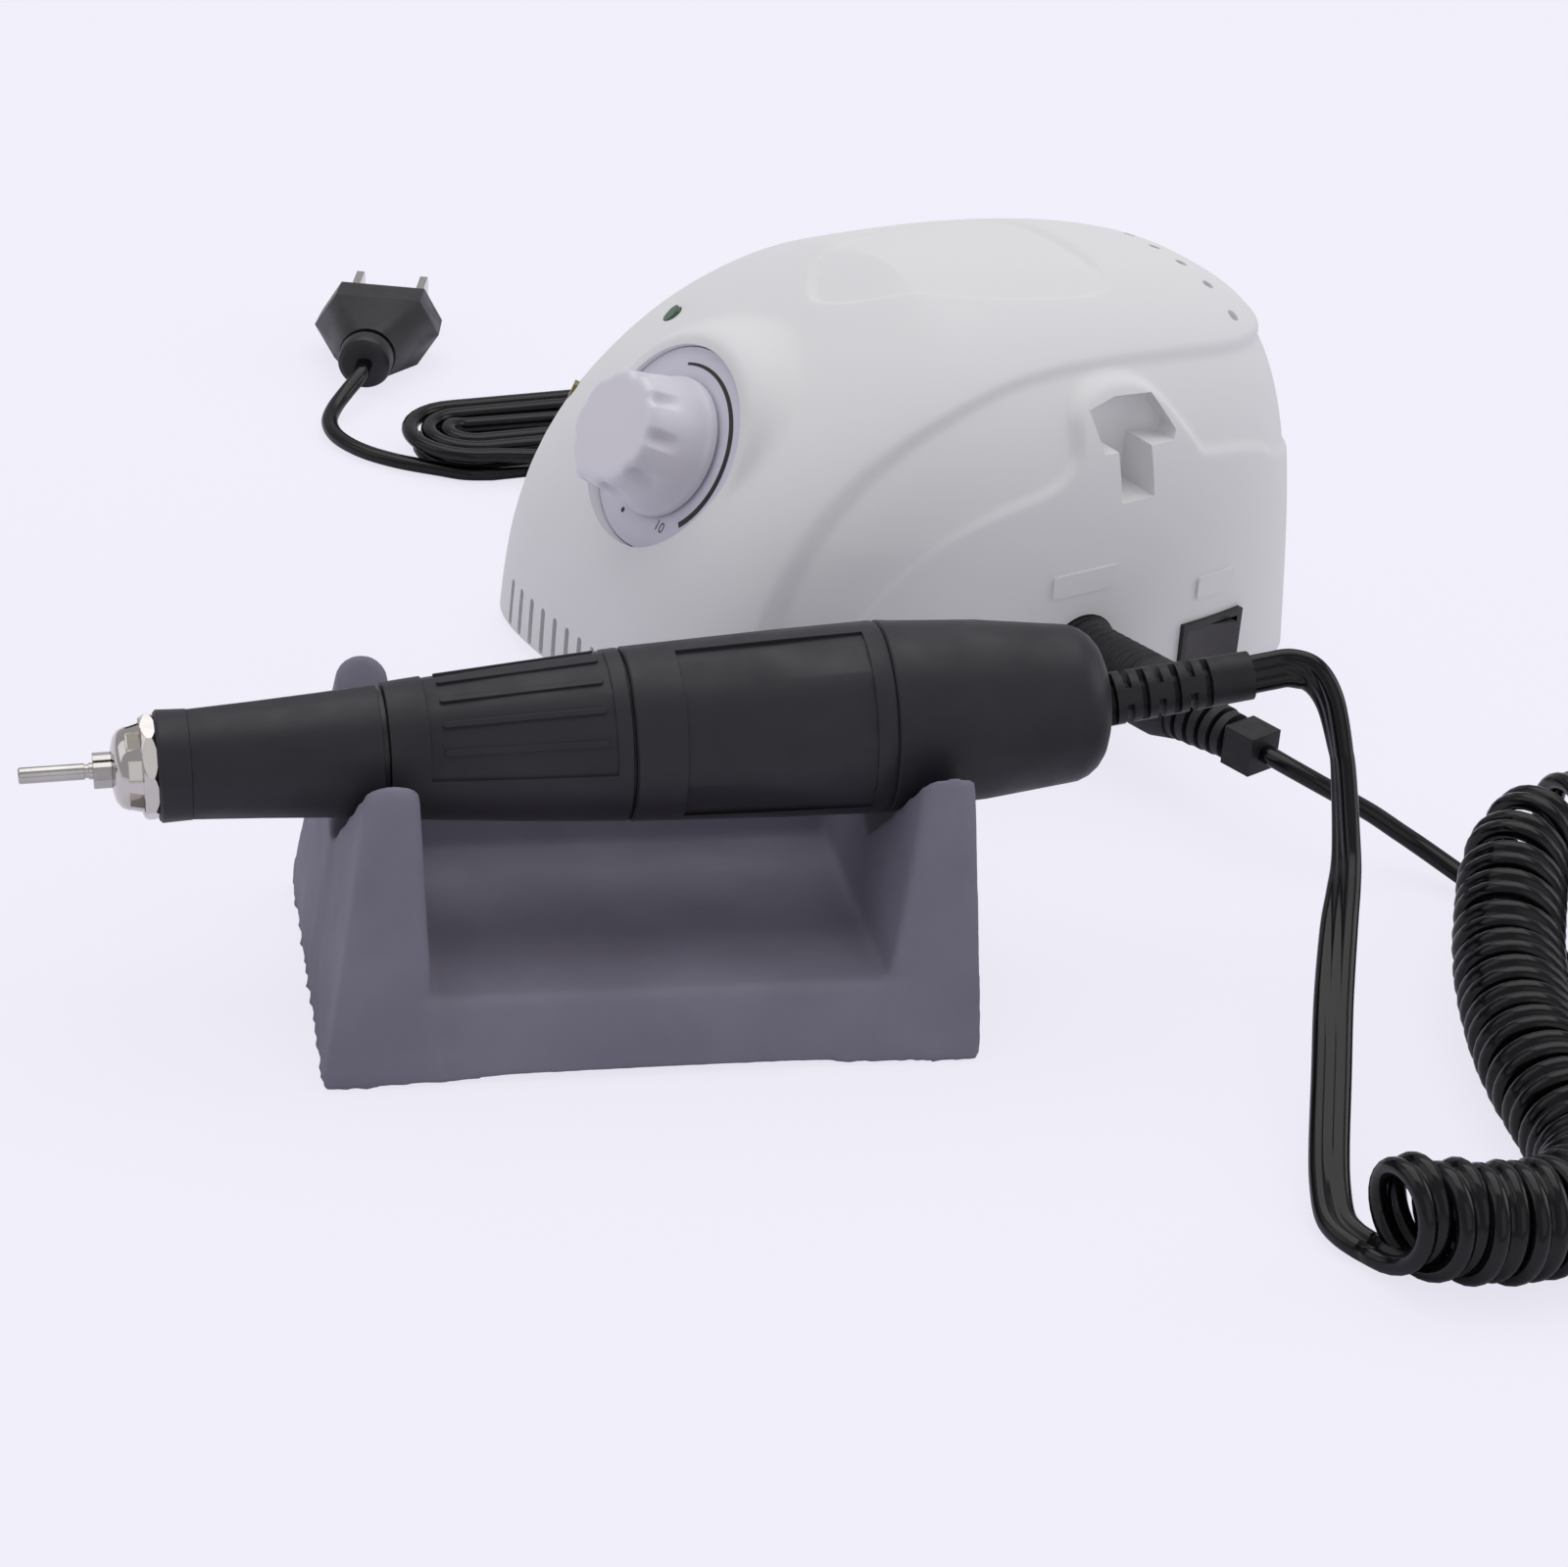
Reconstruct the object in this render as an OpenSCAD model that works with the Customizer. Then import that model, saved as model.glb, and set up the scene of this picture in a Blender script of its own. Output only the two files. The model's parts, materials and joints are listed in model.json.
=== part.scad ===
// Micromotor set: control box, motor handpiece on its rubber cradle, curly motor cord and mains lead.
// X runs along the cradle from the tool end to the cord end, Y from the user to the box, Z up.
// The origin is on the table, under the middle of the set without its cords.

/* [Control box] */
// Distance from the widest section of the box to its front
box_front = 53; // [50:1:58]
// Distance from the widest section of the box to its back
box_rear = 75; // [70:1:82]
// Width of the control box
box_w = 95; // [88:1:104]
// Height of the control box over the table
box_h = 72; // [70:1:78]
// Thickness from the outer skin to the hollow inside
box_wall = 4.6; // [4.2:0.1:5.4]
// Depth of the hollow band under the top shell
side_step = 1.5; // [0.8:0.1:1.8]
// Distance from the widest section in to the flat side panel
side_inset = 2.6; // [2.2:0.1:3]
// Height of the rubber feet
foot_h = 2; // [1.5:0.1:3]
// Diameter of the rubber feet
foot_d = 11; // [8:0.5:14]
// Thickness of the base plate
base_t = 3; // [2.5:0.1:4]
// Turn of the box on the table against the cradle, in degrees
box_turn = 22; // [20:1:24]

/* [Speed dial] */
// Diameter of the printed dial plate
dial_d = 34.4; // [32:0.2:36]
// Thickness of the dial plate
dial_t = 0.9; // [0.6:0.1:1.2]
// Height of the dial centre over the table
dial_z = 44.3; // [43:0.1:46]
// Distance of the dial centre in front of the widest section
dial_u = 39.9; // [39:0.1:41]
// Backward lean of the dial, in degrees
dial_lean = 27; // [24:1:30]
// Diameter of the knob at its foot
knob_d = 23.6; // [21:0.2:25]
// Diameter of the flat face of the knob
knob_face_d = 19.2; // [17:0.2:20]
// Height of the knob
knob_h = 12.6; // [10:0.2:15]
// Number of grip notches round the knob
knob_notches = 12; // [8:1:16]
// Diameter of the potentiometer shaft
knob_shaft_d = 6; // [5:0.5:7]

/* [Side fittings] */
// Width of the rocker switch opening
rocker_w = 14.2; // [13:0.1:15]
// Height of the rocker switch opening
rocker_h = 12.6; // [11:0.1:13]
// Diameter of the round motor plug at the box
plug_d = 12.4; // [11.6:0.2:13.4]
// Length of the motor plug with its ribbed boot
plug_l = 42; // [40:0.5:46]
// Height of the motor plug axis over the table
plug_z = 15.3; // [14:0.1:17]
// Width of the wide part of the holder slot
slot_w = 16.6; // [15:0.2:17.4]
// Width of the narrow part of the holder slot
slot_neck_w = 6.8; // [6:0.2:8]
// Depth of the holder slot
slot_depth = 8; // [6:0.5:9]

/* [Handpiece] */
// Diameter of the tool shank
shank_d = 2.35; // [2:0.05:3]
// Length of the tool shank in front of the collet
shank_out = 10.4; // [8:0.2:30]
// Largest diameter of the handpiece, at the tail cap joint
hand_d = 28.2; // [27:0.1:29.4]
// Diameter of the nose collar
collar_d = 16.1; // [15.4:0.1:17]
// Length of the faceted front sleeve
sleeve_l = 26.8; // [24:0.2:30]
// Length of the twist sleeve
twist_l = 34; // [32:0.2:36]
// Length of the motor housing
motor_l = 37.7; // [36:0.1:39]
// Length of the tail cap
tail_l = 33.5; // [31:0.1:36]
// Length of the cord strain relief
relief_l = 23; // [20:0.2:25]
// Rise of the handpiece towards its tail on the cradle, in degrees
hand_tilt = 2.5; // [2:0.1:3]
// Height of the handpiece axis over the table at the middle of the cradle
hand_z = 39.8; // [39.6:0.1:41]

/* [Cradle] */
// Length of the cradle
cradle_l = 94.2; // [90:0.2:98]
// Depth of the cradle
cradle_w = 59.4; // [54:0.2:64]
// Height of the cradle
cradle_h = 43.4; // [42.4:0.2:44.6]
// Height of the front wall and deck
deck_h = 12.5; // [11.5:0.1:14]
// Thickness of each end wall at the deck
end_wall = 15.6; // [14:0.2:18]

/* [Cords] */
// Width of the flat three-core motor cord
motor_cord_w = 5.8; // [5.4:0.1:6]
// Thickness of the flat motor cord
motor_cord_t = 2.8; // [2.4:0.1:3]
// Outer diameter of the curly stretch
curl_d = 17; // [16:0.2:17.2]
// Width of the cord inside the curls
curl_cord_w = 4.7; // [4.2:0.1:4.8]
// Width of the flat mains cord
mains_cord_w = 3.6; // [3.4:0.1:3.8]
// Thickness of the flat mains cord
mains_cord_t = 2.4; // [2.2:0.1:2.5]

/* [Hidden] */
$fn = 48;

fit = 0.02;          // running clearance of a shaft in its bearing, on the radius
gap = 0.25;          // clearance between neighbouring mouldings
eps = 0.01;

set_origin = [-22.06, -68.17, 0];   // the cradle middle, seen from the origin
box_pos = [56.4, 105.5, 0];       // the widest section of the box, seen from the cradle middle

// ---------- general shapes ----------

// Solid through closed rings of equal point counts, each anticlockwise seen from the next one.
module loft(rings) {
    n = len(rings[0]);
    m = len(rings);
    sides = [for (i = [0:m - 2], j = [0:n - 1]) each [
        [i * n + j, (i + 1) * n + j, (i + 1) * n + (j + 1) % n],
        [i * n + j, (i + 1) * n + (j + 1) % n, i * n + (j + 1) % n]]];
    first_cap = [for (j = [1:n - 2]) [0, j, j + 1]];
    last_cap = [for (j = [1:n - 2]) [(m - 1) * n, (m - 1) * n + j + 1, (m - 1) * n + j]];
    polyhedron(points = [for (r = rings) each r], faces = concat(sides, first_cap, last_cap), convexity = 8);
}

function spow(x, e) = sign(x) * pow(abs(x), e);
function unit(v) = v / norm(v);
function running(list, i = 0, total = 0, out = [0]) =
    i >= len(list) - 1 ? out
    : let (t = total + norm(list[i + 1] - list[i])) running(list, i + 1, t, concat(out, [t]));

// Smooth curve through the points of a list, with steps pieces between neighbours.
function smooth_point(p, i, t) =
    let (a = p[max(i - 1, 0)], b = p[i], c = p[i + 1], d = p[min(i + 2, len(p) - 1)])
    0.5 * ((2 * b) + (c - a) * t + (2 * a - 5 * b + 4 * c - d) * t * t
        + (3 * b - a - 3 * c + d) * t * t * t);
function smooth_path(p, steps) =
    [for (i = [0:len(p) - 2], k = [0:steps - 1]) smooth_point(p, i, k / steps), p[len(p) - 1]];

// Rings of a flat cord along a path: facing tells which way its broad side looks.
function facing_at(f, x) = let (k = min(floor(x * (len(f) - 1)), len(f) - 2), t = x * (len(f) - 1) - k)
    len(f) == 1 ? f[0] : f[k] * (1 - t) + f[k + 1] * t;
function cord_rings(path, w, t, facing) = [for (i = [0:len(path) - 1])
    let (dir = unit(path[min(i + 1, len(path) - 1)] - path[max(i - 1, 0)]),
         across = unit(cross(facing_at(facing, i / (len(path) - 1)), dir)),
         out = cross(dir, across))
    [for (c = [[0.5, 0.22], [0.32, 0.5], [-0.32, 0.5], [-0.5, 0.22],
               [-0.5, -0.22], [-0.32, -0.5], [0.32, -0.5], [0.5, -0.22]])
        path[i] + across * c[0] * w + out * c[1] * t]];

module tube(outer, inner, length) {
    difference() {
        cylinder(d = outer, h = length);
        translate([0, 0, -1]) cylinder(d = inner, h = length + 2);
    }
}

// ---------- placement ----------

module in_set() { translate(set_origin) children(); }
module in_box() { in_set() translate(box_pos) rotate([0, 0, box_turn]) children(); }

// The handpiece is drawn along +X from the middle of the cradle and leans by its tilt.
module in_hand() { in_set() translate([0, 0, hand_z]) rotate([0, -hand_tilt, 0]) children(); }
module along(s) { translate([s, 0, 0]) rotate([0, 90, 0]) children(); }

// The dial frame has its face towards +Z and its top towards +Y.
module in_dial() {
    in_box() translate([-dial_u, 0, dial_z]) rotate([0, 0, -90]) rotate([90 - dial_lean, 0, 0]) children();
}

// ---------- control box ----------

panel_w = box_w - 2 * side_inset;

// Height profile exponents of the dome at its front, back and sides, and its plan roundness.
front_shape = [3.06, 1.08];
rear_shape = [11.35, 1.38];
side_shape = [4, 1.83];
panel_shape = [5.2, 1.9];
plan_foot = 4.56;
plan_top = 2.32;
dome_levels = 22;
dome_sides = 56;

function taper(k, shape) = pow(1 - pow(k, shape[0]), 1 / shape[1]);
function dome_ring(k, inset, sides) =
    let (m = plan_foot + (plan_top - plan_foot) * k,
         front = max(box_front * taper(k, front_shape) - inset, 0.3),
         rear = max(box_rear * taper(k, rear_shape) - inset, 0.3),
         half = max(box_w / 2 * taper(k, side_shape) - inset, 0.3))
    [for (i = [0:sides - 1]) let (a = 360 * i / sides)
        [(cos(a) < 0 ? front : rear) * spow(cos(a), 2 / m), half * spow(sin(a), 2 / m), (box_h - inset)
            * k]];

// Place on the front of the dome at a distance to the middle and a height.
function on_skin(v, z) = let (k = z / box_h, m = plan_foot + (plan_top - plan_foot) * k,
        half = box_w / 2 * taper(k, side_shape), front = box_front * taper(k, front_shape))
    [-front * pow(1 - pow(abs(v) / half, m), 1 / m), v, z];

// Dome from a starting height upwards, drawn smaller by an inset.
module dome(inset, from, levels, sides) {
    k0 = from / (box_h - inset);
    start = asin(k0);
    loft([for (i = [0:levels]) dome_ring(sin(start + (88 - start) * i / levels), inset, sides)]);
}

// Edge of the top shell and edge of the side panel, as heights over the box length.
crease_top = [18, 61.9];
crease_foot = 66;
shell_edge = concat([for (i = [0:12]) let (u = 1 - i / 12)
    [crease_top[0] - crease_foot * u, crease_top[1] * pow(1 - pow(u, 2.6), 0.4)]],
    [[30, 61.4], [42, 60.2], [56, 58], [90, 53], [90, -1]]);
panel_edge = [[-46, -1], [-41, 14], [-35.4, 23], [-28.6, 31.3], [-24.2, 35.2], [-19.6, 38.4], [-14.3, 40.9],
    [-5.8, 43.3], [4.1, 44.9], [9, 46.3], [12.4, 49], [13.4, 52.4], [14.2, 55.2], [16.4, 57.5], [19.6, 58.7],
    [23.4, 59], [27.4, 58.5], [31.2, 56.8], [34, 54.1], [36.4, 50.9], [38.8, 47.8], [40.8, 45.6], [48, 44.4],
    [56, 42.4], [64, 38.6], [90, 34], [90, -1]];

// A shape drawn over length and height, carried outwards to one side from a distance to the middle.
module to_side(side, from) {
    scale([1, side, 1]) translate([0, -from, 0]) rotate([90, 0, 0]) linear_extrude(height = box_w)
        children();
}
// Body with the flat sides, drawn smaller by an inset.
module panel_body(inset) {
    loft([for (i = [0:16]) let (k = sin(2 + 84 * i / 16), m = plan_foot + (plan_top - plan_foot) * k)
        [for (j = [0:dome_sides - 1]) let (a = 360 * j / dome_sides)
            [(cos(a) < 0 ? box_front * taper(k, front_shape) : box_rear * taper(k, rear_shape) - 0.6)
                * spow(cos(a), 2 / m),
             (panel_w / 2 - inset) * taper(k, panel_shape) * spow(sin(a), 2 / m), box_h * k]]]);
}
module hollow_band(side) {
    difference() {
        to_side(side, 0) polygon(shell_edge);
        intersection() {
            dome(side_step, 0.5, 18, dome_sides);
            panel_body(0.3);
        }
    }
}
module side_panel(side) {
    intersection() {
        to_side(side, 19) polygon(panel_edge);
        panel_body(0);
    }
}

slot_low = 41.4;
slot_mid = 49.3;
slot_u = 24.6;
slot_face = 38;
slot_floor = slot_face - slot_depth;
slot_wide = [[-slot_w / 2 + 1, slot_mid + 0.5], [-slot_w / 2 - 0.2, slot_mid + 7.6],
    [-slot_w / 2 + 2.6, 58.2],
    [-slot_w / 2 + 6, 58.6], [slot_w / 2 - 5, 58], [slot_w / 2 - 1.2, 56], [slot_w / 2 + 0.6, 51.4],
    [slot_w / 2, slot_mid]];
slot_inner = [[-slot_w / 2 + 7, slot_mid + 1], [-slot_w / 2 + 6.4, 55], [slot_w / 2 - 4, 56.4],
    [slot_w / 2 - 1.4, 52], [slot_w / 2 - 1.4, slot_mid + 0.6]];
module holder_slot() {
    translate([slot_u, 0, 0]) rotate([90, 0, 0]) {
        translate([0, 0, slot_face - 2]) linear_extrude(height = 12) polygon(slot_wide);
        hull() {
            translate([0, 0, slot_face - 2.1]) linear_extrude(height = 0.2) polygon(slot_wide);
            translate([0, 0, slot_floor]) linear_extrude(height = 0.2) polygon(slot_inner);
        }
        translate([0, 0, slot_floor]) linear_extrude(height = 20)
            polygon([[-slot_neck_w / 2, slot_low], [slot_neck_w / 2, slot_low],
                [slot_neck_w / 2, slot_mid + 3],
                [-slot_neck_w / 2, slot_mid + 3]]);
    }
}
// Material left round the pocket inside the hollow box.
module slot_pocket_wall() {
    translate([slot_u - slot_w / 2 - 3, -box_w / 2, slot_low - 3])
        cube([slot_w + 6, box_w / 2 - slot_floor + 2.4, 24]);
}

grille_slots = 15;
grille_pitch = 4;
module front_grille() {
    for (i = [0:grille_slots - 1]) translate([-box_front - 2, (i - (grille_slots - 1) / 2)
        * grille_pitch, 0])
        hull() {
            translate([0, 0, foot_h + 0.8]) rotate([0, 90, 0]) cylinder(d = 1.3, h = 12, $fn = 8);
            translate([0, 0, foot_h + 8]) rotate([0, 90, 0]) cylinder(d = 1.3, h = 12, $fn = 8);
        }
}

vent_holes = 9;
vent_pitch = 7.3;
module rear_vents() {
    for (i = [0:vent_holes - 1]) let (v = (i - (vent_holes - 1) / 2) * vent_pitch)
        translate([box_rear - 16.5, v, box_h - 7 - v * v * 0.012]) rotate([0, 25, 0])
            translate([0, 0, -8]) cylinder(d = 2.2, h = 14, $fn = 10);
}

pad_depth = 0.6;
pad_u = 18.5;
pad_l = 52;
pad_w = 34;
pad_r = 9;
module top_pad() {
    difference() {
        translate([pad_u, 0, box_h - 30]) linear_extrude(height = 40) offset(r = pad_r, $fn = 32)
            square([pad_l - 2 * pad_r, pad_w - 2 * pad_r], center = true);
        dome(pad_depth, 0.5, 20, dome_sides);
    }
}

// Half width of the flat side panel at a place along the box and a height.
function panel_v(u, z) = let (k = z / box_h, m = plan_foot + (plan_top - plan_foot) * k,
        reach = u < 0 ? box_front * taper(k, front_shape) : box_rear * taper(k, rear_shape) - 0.6)
    panel_w / 2 * taper(k, panel_shape) * pow(1 - pow(abs(u) / reach, m), 1 / m);
function panel_turn(u, z) = atan((panel_v(u - 2, z) - panel_v(u + 2, z)) / 4);

plaques = [[13.8, 28.7, 13.6], [43.3, 21.9, 8.8]];   // place along the box, height and length
plaque_h = 4;
plaque_rise = 0.4;
module side_plaques() {
    for (p = plaques) translate([p[0], -panel_v(p[0], p[1]) - plaque_rise, p[1]])
        rotate([90, 0, panel_turn(p[0], p[1])]) translate([0, 0, -2.4]) linear_extrude(height = 2.4)
            offset(r = 0.8, $fn = 16) square([p[2] - 1.6, plaque_h - 1.6], center = true);
}

rocker_u = 43.3;
rocker_z = foot_h + 7.6;
rocker_at = [rocker_u, -panel_v(rocker_u, rocker_z), rocker_z];
rocker_turn = panel_turn(rocker_u, rocker_z);
socket_u = 14.4;
socket_turn = 7.2;
socket_face = panel_w / 2;
gland_u = -5;
gland_z = 12;
gland_face = panel_w / 2 + 0.02;
boss_d = dial_d + 6.6;
rim_h = 1;
pot_hole = knob_shaft_d + 3.4;
power_lens_at = on_skin(box_w / 2 - 23.7, box_h - 15.3);
overload_lens_at = on_skin(box_w / 2 - 12.9, box_h - 31.2);
lens_d = 3.4;
lens_l = box_wall + 2.6;

module in_rocker() {
    in_box() translate(rocker_at) rotate([0, 0, rocker_turn]) rotate([90, 0, 0]) children();
}
module in_socket() {
    in_box() translate([socket_u, -socket_face, plug_z]) rotate([0, 0, socket_turn]) rotate([90, 0, 0])
        children();
}
module in_gland() { in_box() translate([gland_u, gland_face, gland_z]) rotate([-90, 0, 0]) children(); }
module in_lens(at, side, rise) {
    in_box() translate(at) rotate([0, 0, side]) rotate([0, 90 - rise, 0]) children();
}
module in_power_lens() { in_lens(power_lens_at, 150, 42) children(); }
module in_overload_lens() { in_lens(overload_lens_at, 140, 20) children(); }

module dial_boss() {
    rotate_extrude($fn = 64) polygon([[0, -26], [boss_d / 2, -26], [boss_d / 2, rim_h - 1.6],
        [boss_d / 2 - 0.5, rim_h - 0.5], [boss_d / 2 - 1.6, rim_h], [0, rim_h]]);
}

module housing_skin() {
    difference() {
        union() {
            difference() {
                in_box() dome(0, foot_h, dome_levels, dome_sides);
                in_box() hollow_band(1);
                in_box() hollow_band(-1);
                in_box() top_pad();
            }
            in_box() side_panel(1);
            in_box() side_panel(-1);
            in_box() side_plaques();
            intersection() {
                in_dial() dial_boss();
                in_box() translate([-box_front, -box_w / 2, foot_h]) cube([60, box_w, box_h - 6]);
            }
        }
        in_dial() translate([0, 0, -dial_t - 0.1]) cylinder(d = dial_d + 0.4, h = 20, $fn = 64);
    }
}

module upper_housing() {
    color("whitesmoke") difference() {
        housing_skin();
        difference() {
            in_box() dome(box_wall, 0.5, 14, 40);
            in_dial() translate([0, 0, -box_wall]) cylinder(d = boss_d - 3, h = 12, $fn = 40);
            in_box() slot_pocket_wall();
        }
        in_box() translate([0, 0, -8 + foot_h]) linear_extrude(height = 8.5)
            polygon([for (p = dome_ring(0.05, box_wall, 40)) [p[0], p[1]]]);
        in_dial() translate([0, 0, -12]) cylinder(d = pot_hole, h = 20);
        in_box() holder_slot();
        in_box() front_grille();
        in_box() rear_vents();
        in_rocker() translate([0, 0, -6]) linear_extrude(height = 20)
            square([rocker_w, rocker_h], center = true);
        in_socket() translate([0, 0, -8]) cylinder(d = plug_d + 1.4 + 2 * gap, h = 20);
        in_gland() translate([0, 0, -8]) cylinder(d = gland_d, h = 20);
        in_power_lens() lens_seat();
        in_overload_lens() lens_seat();
    }
}

module base_plate() {
    color("gainsboro") in_box() translate([0, 0, foot_h]) difference() {
        linear_extrude(height = base_t)
            polygon([for (p = dome_ring(0.05, box_wall + gap, 40)) [p[0], p[1]]]);
        for (at = feet) translate([at[0], at[1], -1]) cylinder(d = 3, h = base_t + 2);
        for (i = [0:6]) translate([2 + i * 5, 0, base_t / 2]) cube([2, 30, base_t + 2], center = true);
        translate([rocker_at[0] - rocker_w / 2 - 1.5, -box_w / 2, -1]) cube([rocker_w + 3, 12, base_t + 2]);
    }
}

feet = [[-36, 28], [-36, -28], [54, 30], [54, -30]];
module rubber_foot(i) {
    color("dimgray") in_box() translate([feet[i][0], feet[i][1], 0]) {
        cylinder(d = foot_d, h = foot_h);
        cylinder(d = 3 - 2 * fit, h = foot_h + base_t);
    }
}

module dial_plate() {
    color("white") in_dial() translate([0, 0, -dial_t]) difference() {
        cylinder(d = dial_d, h = dial_t);
        translate([0, 0, -1]) cylinder(d = pot_hole, h = dial_t + 2);
    }
}

knob_lift = 0.6;
pointer_angle = -163;
notch_d = 2;
knob_profile = [[0, 0], [knob_d / 2, 0], [knob_d / 2, 1], [knob_d / 2 - 0.5, 2.6],
    [knob_face_d / 2 + 0.7, knob_h * 0.62], [knob_face_d / 2, knob_h - 0.7],
    [knob_face_d / 2 - 0.7, knob_h], [0, knob_h]];
module speed_knob() {
    color("white") in_dial() translate([0, 0, knob_lift]) difference() {
        union() {
            difference() {
                rotate_extrude($fn = 64) polygon(knob_profile);
                for (i = [1:knob_notches - 1])
                    rotate([0, 0, -pointer_angle + 360 * i / knob_notches])
                        translate([0, knob_face_d / 2 + 1.9, 2.6]) rotate([11, 0, 0])
                            cylinder(d = notch_d, h = knob_h, $fn = 16);
            }
            rotate([0, 0, -pointer_angle]) translate([0, knob_face_d / 2 - 1.4, 0])
                linear_extrude(height = knob_h) polygon([[-1.5, 0], [1.5, 0], [0.7, 2.3], [-0.7, 2.3]]);
        }
        translate([0, 0, -1]) cylinder(d = knob_shaft_d, h = 1 + shaft_reach);
    }
}

shaft_reach = 9;
pot_d = 16;
pot_h = 8;
pot_back = -box_wall - 6 - pot_h;
module pot_shaft() {
    color("silver") in_dial() translate([0, 0, pot_back + 2])
        cylinder(d = knob_shaft_d, h = knob_lift + shaft_reach - pot_back - 2);
}
module potentiometer() {
    color("darkgray") in_dial() difference() {
        union() {
            translate([0, 0, pot_back]) cylinder(d = pot_d, h = pot_h);
            translate([0, 0, pot_back + pot_h - eps])
                cylinder(d = pot_hole - 2 * gap, h = box_wall + 6 - dial_t);
        }
        translate([0, 0, pot_back + 2 - fit]) cylinder(d = knob_shaft_d + 2 * fit, h = 40);
    }
}

module lens() {
    translate([0, 0, -lens_l]) cylinder(d = lens_d, h = lens_l + 0.3, $fn = 32);
    translate([0, 0, -lens_l]) cylinder(d = lens_d + 1, h = 1, $fn = 32);
}
// Hole for a lens, with a wider pocket for its flange behind the wall.
module lens_seat() {
    translate([0, 0, -8]) cylinder(d = lens_d + 0.3, h = 16, $fn = 20);
    translate([0, 0, -lens_l - 6]) cylinder(d = lens_d + 1 + 2 * gap, h = 7.1, $fn = 20);
}
module power_lens() { color("darkgreen") in_power_lens() lens(); }
module overload_lens() { color("olive") in_overload_lens() lens(); }

module rocker_frame() {
    color("black") in_rocker() difference() {
        translate([0, 0, -7]) linear_extrude(height = 7.6)
            square([rocker_w - 0.1, rocker_h - 0.1], center = true);
        translate([0, 0, -5.6]) linear_extrude(height = 8)
            square([rocker_w - 2.4, rocker_h - 2.4], center = true);
        translate([0, 0, rocker_axis_z]) rotate([90, 0, 0])
            cylinder(d = rocker_pin_d + 2 * fit, h = rocker_h, center = true);
    }
}

rocker_axis_z = -2.4;
rocker_pin_d = 1.8;
rocker_l = rocker_w - 3;
rocker_rise = 3.4;
rocker_rest = 11;
module rocker() {
    color("dimgray") in_rocker() translate([0, 0, rocker_axis_z]) rotate([0, -rocker_rest, 0]) {
        rotate([90, 0, 0]) linear_extrude(height = rocker_h - 3, center = true)
            polygon([[-rocker_l / 2 + 0.4, rocker_rise], [0, rocker_rise - 0.9],
                [rocker_l / 2 - 0.4, rocker_rise],
                [rocker_l / 2 - 0.8, -0.6], [0, -1.4], [-rocker_l / 2 + 0.8, -0.6]]);
        rotate([90, 0, 0]) cylinder(d = rocker_pin_d, h = rocker_h - 0.6, center = true);
    }
}

socket_pins = 5;
module motor_socket() {
    color("black") in_socket() {
        difference() {
            translate([0, 0, -7]) cylinder(d = plug_d + 1.4, h = 7.6);
            translate([0, 0, -4.4]) cylinder(d = plug_d + 0.2, h = 8);
        }
    }
    color("gold") in_socket() socket_pin_places() translate([0, 0, -4.4 - eps])
        cylinder(d = 1, h = 3.4, $fn = 16);
}
module socket_pin_places() {
    for (i = [0:socket_pins - 1]) rotate([0, 0, 45 * i]) translate([plug_d * 0.27, 0, 0]) children();
}

gland_d = 8;
gland_out = 9;
module mains_gland() {
    color("black") in_gland() difference() {
        union() {
            translate([0, 0, -7]) cylinder(d = gland_d + 3, h = 1.6);
            translate([0, 0, -5.5]) cylinder(d = gland_d - 2 * gap, h = 6.5);
            cylinder(d1 = gland_d + 3, d2 = mains_cord_w + 1.6, h = gland_out);
        }
        for (i = [0:2]) translate([0, 0, 2.4 + 2.2 * i]) for (side = [-1, 1])
            translate([side * 4.6, 0, 0]) cube([3, 12, 0.8], center = true);
    }
}

core_at = [28, 0];
core_size = [42, 34, 34];
module transformer_core() {
    color("slategray") in_box() translate([core_at[0], core_at[1], foot_h + base_t]) difference() {
        translate([-core_size[0] / 2, -core_size[1] / 2, 0]) cube(core_size);
        for (x = [-1, 1]) translate([x * 12 - 5, -core_size[1], 7]) cube([10, 2 * core_size[1], 20]);
    }
}
module transformer_coil() {
    color("peru") in_box() translate([core_at[0], core_at[1], foot_h + base_t + 17]) difference() {
        cube([33.6, 46, 19.6], center = true);
        cube([14.2, 34.2, 30], center = true);
    }
}

board_at = [-20, 0];
board_size = [32, 56, 1.6];
module circuit_board() {
    color("seagreen") in_box() translate([board_at[0], board_at[1], foot_h + base_t]) {
        translate([-board_size[0] / 2, -board_size[1] / 2, 5]) cube(board_size);
        for (x = [-1, 1], y = [-1, 1]) translate([x * 12, y * 24, 0]) cylinder(d = 5, h = 5.2);
        translate([6, 10, 6.5]) cylinder(d = 10, h = 14);
        translate([-11, -18, 6.5]) cube([16, 8, 10]);
    }
}

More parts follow.
